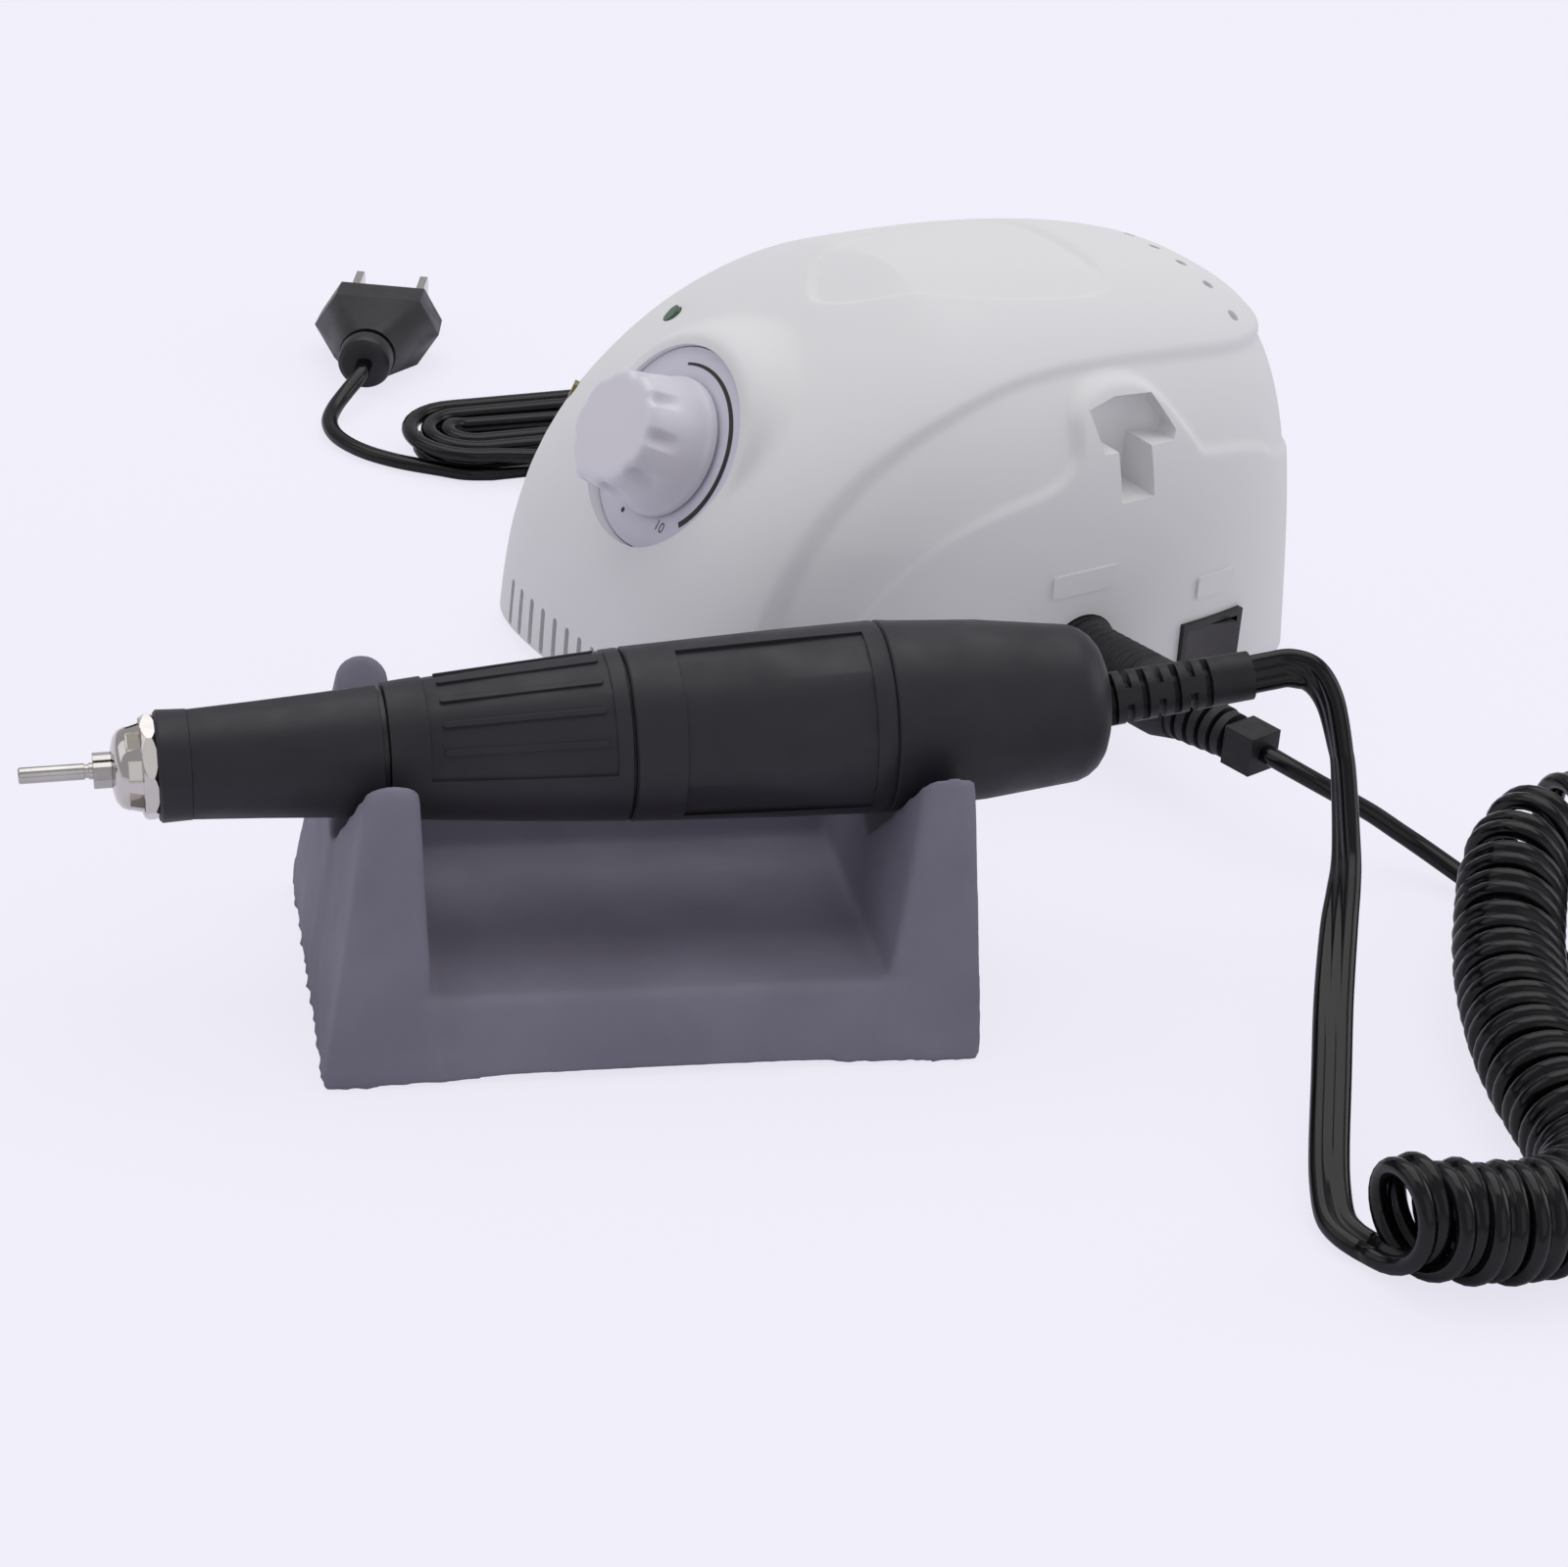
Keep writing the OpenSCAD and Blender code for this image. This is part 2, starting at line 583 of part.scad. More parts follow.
boot_w = 6.6;
boot_ribs = 5;
plug_grip_l = 15;
plug_bulge_l = 9;
boot_l = plug_l - plug_grip_l - plug_bulge_l;
plug_grips = 8;
module motor_plug() {
    color("black") in_socket() {
        difference() {
            translate([0, 0, -3.6]) cylinder(d = plug_d - 0.4, h = 3.6 + eps);
            socket_pin_places() translate([0, 0, -4]) cylinder(d = 1.2, h = 3.4, $fn = 16);
        }
        rotate_extrude($fn = 48) polygon(concat([[0, 0], [plug_d / 2 + 0.5, 0], [plug_d / 2 + 0.5, 1.4],
            [plug_d / 2, 2]],
            [for (i = [0:plug_grips - 1]) each [[plug_d / 2, 2.6 + i * 1.7],
                [plug_d / 2 - 0.35, 3 + i * 1.7],
                [plug_d / 2 - 0.35, 3.5 + i * 1.7], [plug_d / 2, 3.9 + i * 1.7]]],
            [[plug_d / 2, plug_grip_l + 5], [plug_d / 2 - 1.1, plug_grip_l + plug_bulge_l],
                [0, plug_grip_l + plug_bulge_l]]));
    }
}
module plug_boot() {
    pitch = (boot_l - 6) / boot_ribs;
    color("black") in_socket() translate([0, 0, plug_grip_l + plug_bulge_l]) {
        cylinder(d = 5.2, h = boot_l - 5);
        for (i = [0:boot_ribs - 1]) translate([0, 0, i * pitch])
            cylinder(d = 9.6 - i * 0.45, h = pitch * 0.68);
        translate([0, 0, boot_l - 3]) cube([boot_w, boot_w, 6], center = true);
    }
}

// ---------- handpiece, as stations along its axis from the middle of the cradle ----------

twist_end = -4.2;
twist_start = twist_end - twist_l;
seal_l = 0.8;
sleeve_end = twist_start - 0.2 - seal_l;
sleeve_start = sleeve_end - sleeve_l;
collar_l = 4.6;
collar_start = sleeve_start - collar_l;
nut_l = 2.1;
bell_l = 4.1;
nose_start = collar_start - nut_l - bell_l;
collet_hex_l = 2.6;
shank_tip = nose_start - collet_hex_l - shank_out;
shank_l = 38;
ring_back = 1.2;            // turned ring in front of the collet, and its width
ring_w = 0.6;
ring_depth = 0.2;
motor_start = -3.7;
motor_end = motor_start + motor_l;
tail_start = motor_end + 0.1;
tail_end = tail_start + tail_l;

nose_bore = 5.4;
spindle_d = 5;
bearing_d = 11;
bearing_l = 4;
barrel_d = 16;
barrel_bore = 12.4;
sleeve_d1 = 15.5;
sleeve_d2 = 18.9;
twist_d1 = 19.6;
twist_d2 = 25.1;
motor_d1 = 25.3;
motor_bore = 22.6;
shaft_d = 3;
motor_bearing_d = 10;
grip_facets = 16;

module tool_shank() {
    color("silver") in_hand() along(shank_tip) difference() {
        union() {
            cylinder(d = shank_d, h = shank_out);
            translate([0, 0, shank_out - eps]) cylinder(d = shank_d - 0.02, h = shank_l - shank_out);
        }
        rotate_extrude() translate([shank_d / 2 - 0.2, 0])
            polygon([[0, -eps], [1, -eps], [1, 1], [0.2, 0.2]]);
        translate([0, 0, shank_out - ring_back]) tube(shank_d + 1, shank_d - 2 * ring_depth, ring_w);
    }
}

collet_l = 26;
collet_d = 3.6;
module collet() {
    color("silver") in_hand() difference() {
        union() {
            rotate([nut_turn, 0, 0]) along(nose_start - collet_hex_l) rotate([0, 0, 22.5])
                cylinder(d = 5.2, h = collet_hex_l, $fn = 8);
            along(nose_start - 0.1) cylinder(d = collet_d - 2 * fit, h = collet_l);
        }
        along(nose_start - collet_hex_l - 1) cylinder(d = shank_d + 2 * fit, h = collet_l + collet_hex_l +
            2);
        for (a = [0:120:240]) rotate([a + 30, 0, 0]) translate([nose_start - collet_hex_l - 1, -0.2, 0])
            cube([13, 0.4, 4]);
    }
}

spindle_end = -36;
module spindle() {
    color("silver") in_hand() along(nose_start + gap)
        tube(spindle_d, collet_d, spindle_end - nose_start - gap);
}

nut_corner = 15.3;
nut_turn = 29.7;
cap_windows = 8;
module nose_cap() {
    color("silver") in_hand() difference() {
        union() {
            along(nose_start) rotate_extrude($fn = 64) polygon([[0, 0], [3.2, 0], [4.6, 0.4], [5.5, 1.1],
                [5.9, 2], [6, 2.6], [6.4, bell_l], [6.4, bell_l + nut_l], [0, bell_l + nut_l]]);
            intersection() {
                rotate([nut_turn, 0, 0]) along(nose_start + bell_l) rotate([0, 0, 90])
                    cylinder(d = nut_corner, h = nut_l, $fn = 8);
                along(nose_start + bell_l) rotate_extrude($fn = 64)
                    polygon([[0, 0], [nut_corner / 2 - 0.6, 0],
                    [nut_corner / 2, 0.8], [nut_corner / 2, nut_l - 0.6], [nut_corner / 2 - 0.5, nut_l],
                        [0, nut_l]]);
            }
        }
        along(nose_start - 1) cylinder(d = nose_bore, h = bell_l + nut_l + 2);
        for (i = [0:cap_windows - 1]) rotate([360 * (i + 0.5) / cap_windows, 0, 0])
            translate([nose_start + 2.2, -1.5, 4]) cube([2, 3, 5]);
    }
}

module nose_collar() {
    color("dimgray") in_hand() difference() {
        along(collar_start) rotate_extrude($fn = 64)
            polygon([[0, 0], [collar_d / 2 - 0.4, 0], [collar_d / 2, 0.4],
            [collar_d / 2 - 0.15, collar_l], [0, collar_l]]);
        along(collar_start - 1) cylinder(d = bearing_d, h = collar_l + 2);
    }
}

sleeve_facets = 14;
function prism_ring(s, d, facets, turn) = [for (i = [0:facets - 1])
    let (a = -360 * (i + 0.5) / facets + turn)
    [s, d / 2 / cos(180 / facets) * sin(a), d / 2 / cos(180 / facets) * cos(a)]];
module front_sleeve() {
    color("dimgray") in_hand() difference() {
        union() {
            loft([for (t = [0, 0.35, 0.7, 1]) prism_ring(sleeve_start + sleeve_l * t,
                sleeve_d1 + (sleeve_d2 - sleeve_d1) * (t - 0.25 * t * (1 - t)), sleeve_facets, 0)]);
        }
        along(sleeve_start - 1) cylinder(d = bearing_d, h = sleeve_l - 3);
        along(sleeve_end - 6) cylinder(d = barrel_d, h = 7);
        along(sleeve_start - 1) cylinder(d = nose_bore + 2, h = sleeve_l + 2);
    }
}

module seal_ring() {
    color("black") in_hand() along(sleeve_end) tube(sleeve_d2 - 0.7, barrel_d, seal_l);
}

panel_start = 5.5;
panel_end = 2.2;
ribs = 7;
rib_pitch = 360 / grip_facets;
rib_l = 22.4;
rib_w = 0.9;
function twist_d(s) = let (t = (s - twist_start) / twist_l) twist_d1 + (twist_d2 - twist_d1)
    * (1.2 * t - 0.2 * t * t);
module twist_sleeve() {
    s1 = twist_start + panel_start;
    s2 = twist_end - panel_end;
    color("dimgray") in_hand() difference() {
        union() {
            difference() {
                rotate([0, 90, 0]) rotate_extrude($fn = 72) polygon(concat(
                    [for (i = [0:8]) let (s = twist_start + twist_l * i / 8) [twist_d(s) / 2, s]],
                    [[barrel_d / 2 - 1, twist_end], [barrel_d / 2 - 1, twist_start]]));
                translate([s1, -20, 0]) cube([s2 - s1, 40, 20]);
            }
            intersection() {
                loft([prism_ring(s1 - eps, twist_d(s1) - 0.9, grip_facets, 0),
                    prism_ring((s1 + s2) / 2, twist_d((s1 + s2) / 2) - 0.7, grip_facets, 0),
                    prism_ring(s2 + eps, twist_d(s2) - 0.7, grip_facets, 0)]);
                translate([s1 - 1, -20, -0.5]) cube([s2 - s1 + 2, 40, 20]);
            }
            for (i = [0:ribs - 1]) rotate([(i - (ribs - 1) / 2) * rib_pitch, 0, 0]) grip_rib(s1 + 2.4);
        }
        along(twist_start - 1) cylinder(d = barrel_d + 2 * fit, h = twist_l + 2);
    }
}
module grip_rib(s) {
    lean = atan((twist_d(s + rib_l) - twist_d(s)) / 2 / rib_l);
    translate([s, 0, twist_d(s) / 2 - 0.4]) rotate([0, -lean, 0]) {
        translate([0, -rib_w / 2, -1.2]) cube([rib_l, rib_w, 1.6]);
        for (x = [0, rib_l]) translate([x, 0, -1.2]) cylinder(d = rib_w, h = 1.6, $fn = 16);
    }
}

flange_d = 23.6;
module inner_barrel() {
    color("black") in_hand() difference() {
        union() {
            along(sleeve_end - 5) cylinder(d = barrel_d, h = motor_start - sleeve_end + 5);
            along(twist_end + 0.2) cylinder(d = flange_d, h = motor_start - twist_end - 0.2);
        }
        along(sleeve_end - 6) cylinder(d = barrel_bore, h = motor_start - sleeve_end + 8);
    }
}

module motor_housing() {
    s1 = motor_start + 7.3;
    s2 = motor_end - 3;
    d1 = motor_d1 + (hand_d - motor_d1) * 7.3 / motor_l;
    d2 = hand_d - 0.1;
    color("dimgray") in_hand() difference() {
        union() {
            difference() {
                along(motor_start) rotate_extrude($fn = 72)
                    polygon([[0, 0], [motor_d1 / 2 - 0.3, 0], [motor_d1 / 2, 0.3],
                    [motor_d1 / 2 + 1, motor_l * 0.6], [hand_d / 2, motor_l - 0.6],
                        [hand_d / 2 - 0.3, motor_l], [0, motor_l]]);
                translate([s1, -20, -9]) cube([s2 - s1, 20, 30]);
            }
            intersection() {
                loft([prism_ring(s1 - eps, d1 - 1, grip_facets, 0),
                    prism_ring((s1 + s2) / 2, (d1 + d2) / 2 - 1.1, grip_facets, 0),
                    prism_ring(s2 + eps, d2 - 0.9, grip_facets, 0)]);
                translate([s1 - 1, -20, -9.5]) cube([s2 - s1 + 2, 20.5, 30]);
            }
        }
        along(motor_start + 2) cylinder(d = motor_bore, h = motor_l);
        along(motor_start - 1) cylinder(d = motor_bearing_d, h = 4);
    }
}

tail_mid_d = 26.4;
tail_back_d = 23.6;
tail_round = 6;
relief_base_d = 8;
relief_tip_d = 7.3;
relief_rise = 6.4;
module tail_cap() {
    color("dimgray") in_hand() difference() {
        along(tail_start) rotate_extrude($fn = 72) polygon(concat(
            [[0, 0], [hand_d / 2 - 0.3, 0], [hand_d / 2, 0.3], [hand_d / 2 - 0.2, 2.4],
                [tail_mid_d / 2, 15.2],
                [tail_back_d / 2 + 0.1, tail_l - tail_round - 1]],
            [for (a = [0:15:90]) [tail_back_d / 2 - tail_round + tail_round * cos(a), tail_l - tail_round +
                tail_round * sin(a)]],
            [[0, tail_l]]));
        along(tail_start - 1) cylinder(d = tail_bore, h = 26);
        along(tail_start + 24) cylinder(d = motor_bearing_d, h = 5);
        along(tail_start + 28) cylinder(d = 6, h = tail_l);
        along(tail_end - 2.4) cylinder(d = relief_base_d + 0.2, h = 6);
    }
}
tail_bore = 20;

relief_cuts = 7;
module strain_relief() {
    pitch = (relief_l - 6) / relief_cuts;
    color("black") in_hand() {
        along(tail_end - 2.4) cylinder(d = relief_base_d - 0.8, h = 2.6);
        translate([tail_end, 0, 0]) rotate([0, -relief_rise, 0]) rotate([0, 90, 0]) difference() {
            cylinder(d1 = relief_base_d, d2 = relief_tip_d, h = relief_l);
            for (i = [0:relief_cuts - 1]) translate([0, 0, 0.8 + pitch * i]) difference() {
                cylinder(d = relief_base_d + 1, h = 1.1);
                translate([0, 0, -1]) cylinder(d = 4.6, h = 4);
                rotate([0, 0, 90 * ((i + 1) % 2) - 28]) translate([0, 0, 0.6])
                    cube([2.4, relief_base_d + 2, 3], center = true);
            }
        }
    }
}

middle_bearing_at = sleeve_end - 8.4;
module front_bearing() {
    color("silver") in_hand() along(collar_start + 0.3) tube(bearing_d, spindle_d + 2 * fit, bearing_l);
}
module middle_bearing() {
    color("silver") in_hand() along(middle_bearing_at) tube(bearing_d, spindle_d + 2 * fit, bearing_l);
}

coupling_d = 8;
module coupling() {
    color("steelblue") in_hand() difference() {
        along(spindle_end - 2) cylinder(d = coupling_d, h = 10);
        along(spindle_end - 3) cylinder(d = spindle_d, h = 3);
        along(spindle_end - 1) cylinder(d = shaft_d, h = 12);
    }
}

shaft_end = tail_start + 29.4;
module motor_shaft() {
    color("silver") in_hand() along(spindle_end + gap)
        cylinder(d = shaft_d, h = shaft_end - spindle_end - gap);
}
module motor_bearing() {
    color("silver") in_hand() along(motor_start + 0.2) tube(motor_bearing_d, shaft_d + 2 * fit, 2.8);
}
module rear_bearing() {
    color("silver") in_hand() along(tail_start + 25.2) tube(motor_bearing_d, shaft_d + 2 * fit, 3.8);
}
module magnet_ring() {
    color("darkslategray") in_hand() along(motor_start + 8) tube(motor_bore, 17.6, 24);
}
armature_poles = 5;
module armature() {
    color("peru") in_hand() along(motor_start + 9) difference() {
        cylinder(d = 17, h = 22);
        translate([0, 0, -1]) cylinder(d = shaft_d, h = 24);
        for (i = [0:armature_poles - 1]) rotate([0, 0, 360 * i / armature_poles])
            translate([6, -0.8, -1]) cube([4, 1.6, 24]);
    }
}
commutator_d = 8;
module commutator() {
    color("goldenrod") in_hand() along(tail_start + 3) difference() {
        cylinder(d = commutator_d, h = 10);
        translate([0, 0, -1]) cylinder(d = shaft_d, h = 12);
    }
}
module brush(side) {
    color("black") in_hand() translate([tail_start + 8, 0, side * (commutator_d / 2 + 0.05)])
        translate([-2.5, -2, side > 0 ? 0 : -tail_bore / 2 + commutator_d / 2 + 0.25])
            cube([5, 4, tail_bore / 2 - commutator_d / 2 - 0.25]);
}
module brush_top() { brush(1); }
module brush_bottom() { brush(-1); }

// ---------- cradle ----------

prong_w = 7.6;              // width of a prong tip along the cradle
prong_r = 3.3;              // rounding of a prong tip
prong_x = [-39.4, 40.2];    // middle of the prong tips along the cradle
prong_y = 19.2;             // middle of the prong tips across the cradle
foot_x = [-cradle_l / 2 - 1.3, cradle_l / 2 - 1.1];
notch_low = [24.8, 22.3];   // notch floors at the tool end and at the cord end
notch_round = 3.6;
back_rail_h = 24;
foot_skew = [0.7, 0];       // each end's foot stands this much further out at the front
bow = 1.1;                  // rise of the middle of the long bottom edges
bow_half = cradle_l / 2 - 7;
bow_r = (bow_half * bow_half + bow * bow) / (2 * bow);

module end_wall_solid(i) {
    side = i == 0 ? -1 : 1;
    hull() {
        for (y = [-1, 1]) {
            translate([foot_x[i] - side * end_wall / 2 + foot_skew[i] * y, y * (cradle_w / 2 - 1.5), 1.5])
                cube([end_wall, 3, 3], center = true);
            translate([prong_x[i], y * prong_y, cradle_h - prong_r])
                scale([prong_w / prong_r / 2, 1, 1]) sphere(r = prong_r, $fn = 28);
        }
    }
}
module notch(i) {
    c = notch_round * 0.7071;
    translate([prong_x[i], 0, notch_low[i] + notch_round]) rotate([90, 0, 90])
        linear_extrude(height = 2 * end_wall + 6, center = true) {
            circle(r = notch_round, $fn = 32);
            polygon([[-c, -c], [c, -c], [c + 26, 26 - c], [-c - 26, 26 - c]]);
        }
}
// Rounds the inner upright edges of the prongs, from a height upwards.
module prong_flare(i, side_y, z) {
    side = i == 0 ? -1 : 1;
    r = 5.4;
    translate([foot_x[i] - side * end_wall, side_y * (cradle_w / 2 - 2), z]) scale([side, side_y, 1])
        linear_extrude(height = cradle_h) polygon(concat([[-4, 6], [r + 0.6, 6]],
            [for (a = [0:15:90]) [r * (1 - sin(a)), -r * (1 - cos(a))]], [[-4, -r]]));
}
module cradle() {
    inner = [foot_x[0] + end_wall, foot_x[1] - end_wall];
    color("slategray") in_set() difference() {
        union() {
            for (i = [0, 1]) difference() {
                end_wall_solid(i);
                notch(i);
                prong_flare(i, -1, deck_h);
                prong_flare(i, 1, back_rail_h);
            }
            translate([inner[0] - 3, 0, 0]) rotate([90, 0, 90])
                linear_extrude(height = inner[1] - inner[0] + 6)
                polygon([[-cradle_w / 2, 0], [cradle_w / 2, 0], [cradle_w / 2 - 4.4, back_rail_h],
                    [cradle_w / 2 - 10, back_rail_h], [cradle_w / 2 - 14, deck_h],
                        [-cradle_w / 2 + 3.4, deck_h],
                    [-cradle_w / 2 + 2.5, deck_h - 0.9]]);
        }
        translate([(foot_x[0] + foot_x[1]) / 2, 0, bow - bow_r]) rotate([90, 0, 0])
            cylinder(r = bow_r, h = cradle_w + 4, center = true, $fn = 200);
    }
}

// ---------- motor cord ----------

drop_route = [[90.1, 0, 46.3], [93.3, 0, 46.9], [96.5, -0.4, 47.5], [99.8, -1.5, 46.6], [102.1, -3.6, 43.4],
    [103.3, -7, 37.9], [103.4, -10, 34.3], [102.3, -18, 26], [100.5, -23.5, 22.9], [98.2, -29.5, 20],
    [93.9, -42, 15.2], [90.1, -54.4, 10.6], [86.4, -66.4, 6.2], [84.9, -72.4, 3.9], [84.2, -77.4, 2.4],
    [84.9, -80.8, 2]];
drop_facing = [[-0.33, -0.79, 0.51], [-0.96, 0.04, -0.07], [0, 0.1, 1]];
curl_route = [[88, -86, 9], [94.4, -88.6, 9], [103, -90, 8.8], [111, -88.6, 8.8], [117.4, -84.2, 8.8],
    [121.4, -76.6, 8.8],
    [122, -66, 8.8], [122.4, -54, 8.8], [124, -42, 8.8], [127, -28, 10], [130.8, -16.6, 12.4], [137, -3, 14],
    [146, 7, 14], [158, 11, 12], [169, 7.4, 9.6], [176, -2, 8.8], [179, -16, 8.8], [180, -34, 8.8],
        [180, -58, 8.8]];
lead_route = [[107.1, 33.2, 15.3], [109.5, 29.6, 14.9], [113.6, 26.6, 13.4], [118.1, 24.5, 11.4],
    [122.7, 22.7, 9.2],
    [126.5, 20.7, 7.1], [130.2, 18.2, 5.2], [135.6, 11.6, 3], [139.8, 3.4, 1.9], [142.6, -8, 1.8],
    [142, -20, 1.8], [144, -33, 1.8], [150, -46, 1.8], [159, -54.6, 1.8], [168, -58.6, 1.8]];

curl_r = (curl_d - motor_cord_t) / 2;
curl_steps = 8;
curl_path = smooth_path(curl_route, 8);
curl_run = running(curl_path);
curl_len = curl_run[len(curl_run) - 1];
function curl_at(s) = [for (k = [0:2]) lookup(s, [for (i = [0:len(curl_path) - 1])
    [curl_run[i], curl_path[i][k]]])];
// Turns counted against the distance along the route: close at both ends, open round the corner.
curl_turns = [[0, 0], [1, 6], [4, 23.6], [6.6, 50], [15, 130], [20, 172], [28, curl_len]];
// The first turns stand open towards the tool end.
curl_opening = [[0, 50], [1, 38], [2.4, 16], [4, 0], [99, 0]];
turn_count = curl_turns[len(curl_turns) - 1][0];
function turned(v, a) = [v[0] * cos(a) - v[1] * sin(a), v[0] * sin(a) + v[1] * cos(a), v[2]];
function curl_dir(turn) = let (s = lookup(turn, curl_turns))
    turned(unit(curl_at(s + 0.6) - curl_at(s - 0.6)), lookup(turn, curl_opening));
function curl_point(turn) = let (s = lookup(turn, curl_turns), dir = curl_dir(turn),
        side = unit(cross(dir, [0, 0, 1])), up = cross(side, dir))
    curl_at(s) + curl_r * (sin(360 * turn) * side - cos(360 * turn) * up);
function curl_ring(turn, w, t) =
    let (p = curl_point(turn), s = lookup(turn, curl_turns),
         dir = unit(curl_point(turn + 0.02) - curl_point(turn - 0.02)),
         out = unit(p - curl_at(s)), across = unit(cross(dir, out)), away = cross(across, dir))
    [for (c = [[0.5, 0], [0.3, 0.5], [-0.3, 0.5], [-0.5, 0], [-0.3, -0.5], [0.3, -0.5]])
        p - across * c[0] * w + away * c[1] * t];
function shifted(ring, v) = [for (p = ring) p + v];
curl_first = curl_ring(0, curl_cord_w, motor_cord_t);
curl_last = curl_ring(turn_count, curl_cord_w, motor_cord_t);
// The ends leave the curls straight, one cord thickness long.
start_dir = unit(curl_point(0.02) - curl_point(0));
end_dir = unit(curl_point(turn_count) - curl_point(turn_count - 0.02));
start_point = curl_point(0) - start_dir * motor_cord_t;
end_point = curl_point(turn_count) + end_dir * motor_cord_t;
curl_rings = concat([shifted(curl_first, -start_dir * motor_cord_t)],
    [for (i = [0:turn_count * curl_steps]) curl_ring(i / curl_steps, curl_cord_w, motor_cord_t)],
    [shifted(curl_last, end_dir * motor_cord_t)]);

function ring_gap(a, b) = min([for (p = a, q = b) norm(p - q)]);
curl_gap = min([for (i = [0:len(curl_rings) - curl_steps - 3], k = [-1:1])
    ring_gap(curl_rings[i], curl_rings[i + curl_steps + k])]);
echo(curl_gap = curl_gap, curl_len = curl_len, turns = turn_count, first = start_point, last = end_point,
    end_dir = end_dir, start_dir = start_dir);

// Gap between the hanging stretch, which moves with the handpiece, and the first turn.
drop_gap = 0.5;
module motor_cord_drop() {
    color("black") in_set()
        loft(cord_rings(smooth_path(concat(drop_route, [start_point - start_dir * drop_gap]), 3),
            motor_cord_w, motor_cord_t, drop_facing));
}
module motor_cord_curl() { color("black") in_set() loft(curl_rings); }
module motor_cord_lead() {
    color("black") in_set()
        loft(cord_rings(smooth_path(concat(lead_route, [end_point + end_dir * eps]), 3),
            motor_cord_w * 0.5, motor_cord_t, [[0, 0, 1]]));
}

// ---------- mains cord ----------

hank_pos = [1.6, 188.4, 0];
hank_turn = 11;
hank_l = 90;
hank_big_r = 12.2;
hank_small_r = 11.8;
hank_pitch = 3.6;
hank_z = 1.6;
hank_layer = 3.6;
hank_loops = 5;
hank_steps = 24;
hank_d = (mains_cord_w + mains_cord_t) / 2;
hank_lean = asin((hank_big_r - hank_small_r) / hank_l);

// One station round the hank: k counts steps, shrink is the inward shift of this loop.
function hank_flat(k, shrink) =
    let (big = hank_big_r - shrink, small = hank_small_r - shrink, q = k % hank_steps)
    q < 4 ? let (t = q / 4, a = hank_lean)
        (1 - t) * [big * sin(a), -big * cos(a)] + t * [hank_l + small * sin(a), -small * cos(a)]
    : q < 12 ? let (a = hank_lean + (180 - 2 * hank_lean) * (q - 4) / 8)
        [hank_l + small * sin(a), -small * cos(a)]
    : q < 16 ? let (t = (q - 12) / 4, a = 180 - hank_lean)
        (1 - t) * [hank_l + small * sin(a), -small * cos(a)] + t * [big * sin(a), -big * cos(a)]
    : let (a = 180 - hank_lean + (180 + 2 * hank_lean) * (q - 16) / 8) [big * sin(a), -big * cos(a)];
hank_half = hank_loops / 2 * hank_steps;
function hank_shrink(k) = hank_pitch * (k <= hank_half ? k : 2 * hank_half - k) / hank_steps;
function hank_height(k) = hank_z + hank_layer * min(max((k - hank_half + 6) / 12, 0), 1);
function hank_point(k) = let (p = hank_flat(k, hank_shrink(k))) [p[0], p[1], hank_height(k)];
hank_path = [for (k = [0:2 * hank_half]) hank_point(k)];
function hank_ring(path, i) =
    let (dir = unit(path[min(i + 1, len(path) - 1)] - path[max(i - 1, 0)]),
        side = unit(cross(dir, [0, 0, 1])), up = cross(side, dir))
    [for (a = [0:60:300]) path[i] - side * cos(a) * hank_d / 2 + up * sin(a) * hank_d / 2];
hank_rings = [for (i = [0:len(hank_path) - 1]) hank_ring(hank_path, i)];
hank_gap = min([for (i = [0:len(hank_rings) - hank_steps - 4], k = [-2:2])
    ring_gap(hank_rings[i], hank_rings[i + hank_steps + k])]);
function on_set(p) = [hank_pos[0] + p[0] * cos(hank_turn) - p[1] * sin(hank_turn),
    hank_pos[1] + p[0] * sin(hank_turn) + p[1] * cos(hank_turn), p[2]];
echo(hank_gap = hank_gap, first = on_set(hank_path[0]), second = on_set(hank_path[1]),
    last = on_set(hank_path[len(hank_path) - 1]), before = on_set(hank_path[len(hank_path) - 2]));

mains_end_route = [[-15.3, 216.8, 6.7], [-16.6, 213.2, 5.8], [-19.4, 209.8, 4], [-22.2, 205.2, 2.6],
    [-23.6, 200, 1.9],
    [-22.6, 194, 1.6], [-18.8, 187.6, 1.6], [-12.8, 182.6, 1.6], [-5.4, 178.8, 1.6], [-1, 176.8, 1.6]];
mains_tail_route = [[31.57, 153.58, 12], [30.5, 156.4, 12], [29.4, 160.4, 11.2], [26.6, 166.4, 9.2],
    [21.6, 171.4, 7],
    [14.6, 174.8, 5.6]];

module mains_hank() {
    color("black") in_set() translate(hank_pos) rotate([0, 0, hank_turn]) loft(hank_rings);
}
module mains_cord_end() {
    color("black") in_set() loft(cord_rings(smooth_path(concat(mains_end_route, [on_set(hank_path[0])]), 3),
        hank_d, hank_d, [[0, 0, 1]]));
}
module mains_cord_tail() {
    color("black") in_set() loft(cord_rings(smooth_path(concat(mains_tail_route,
        [on_set(hank_path[2 * hank_half])]), 3),
        hank_d, hank_d, [[0, 0, 1]]));
}

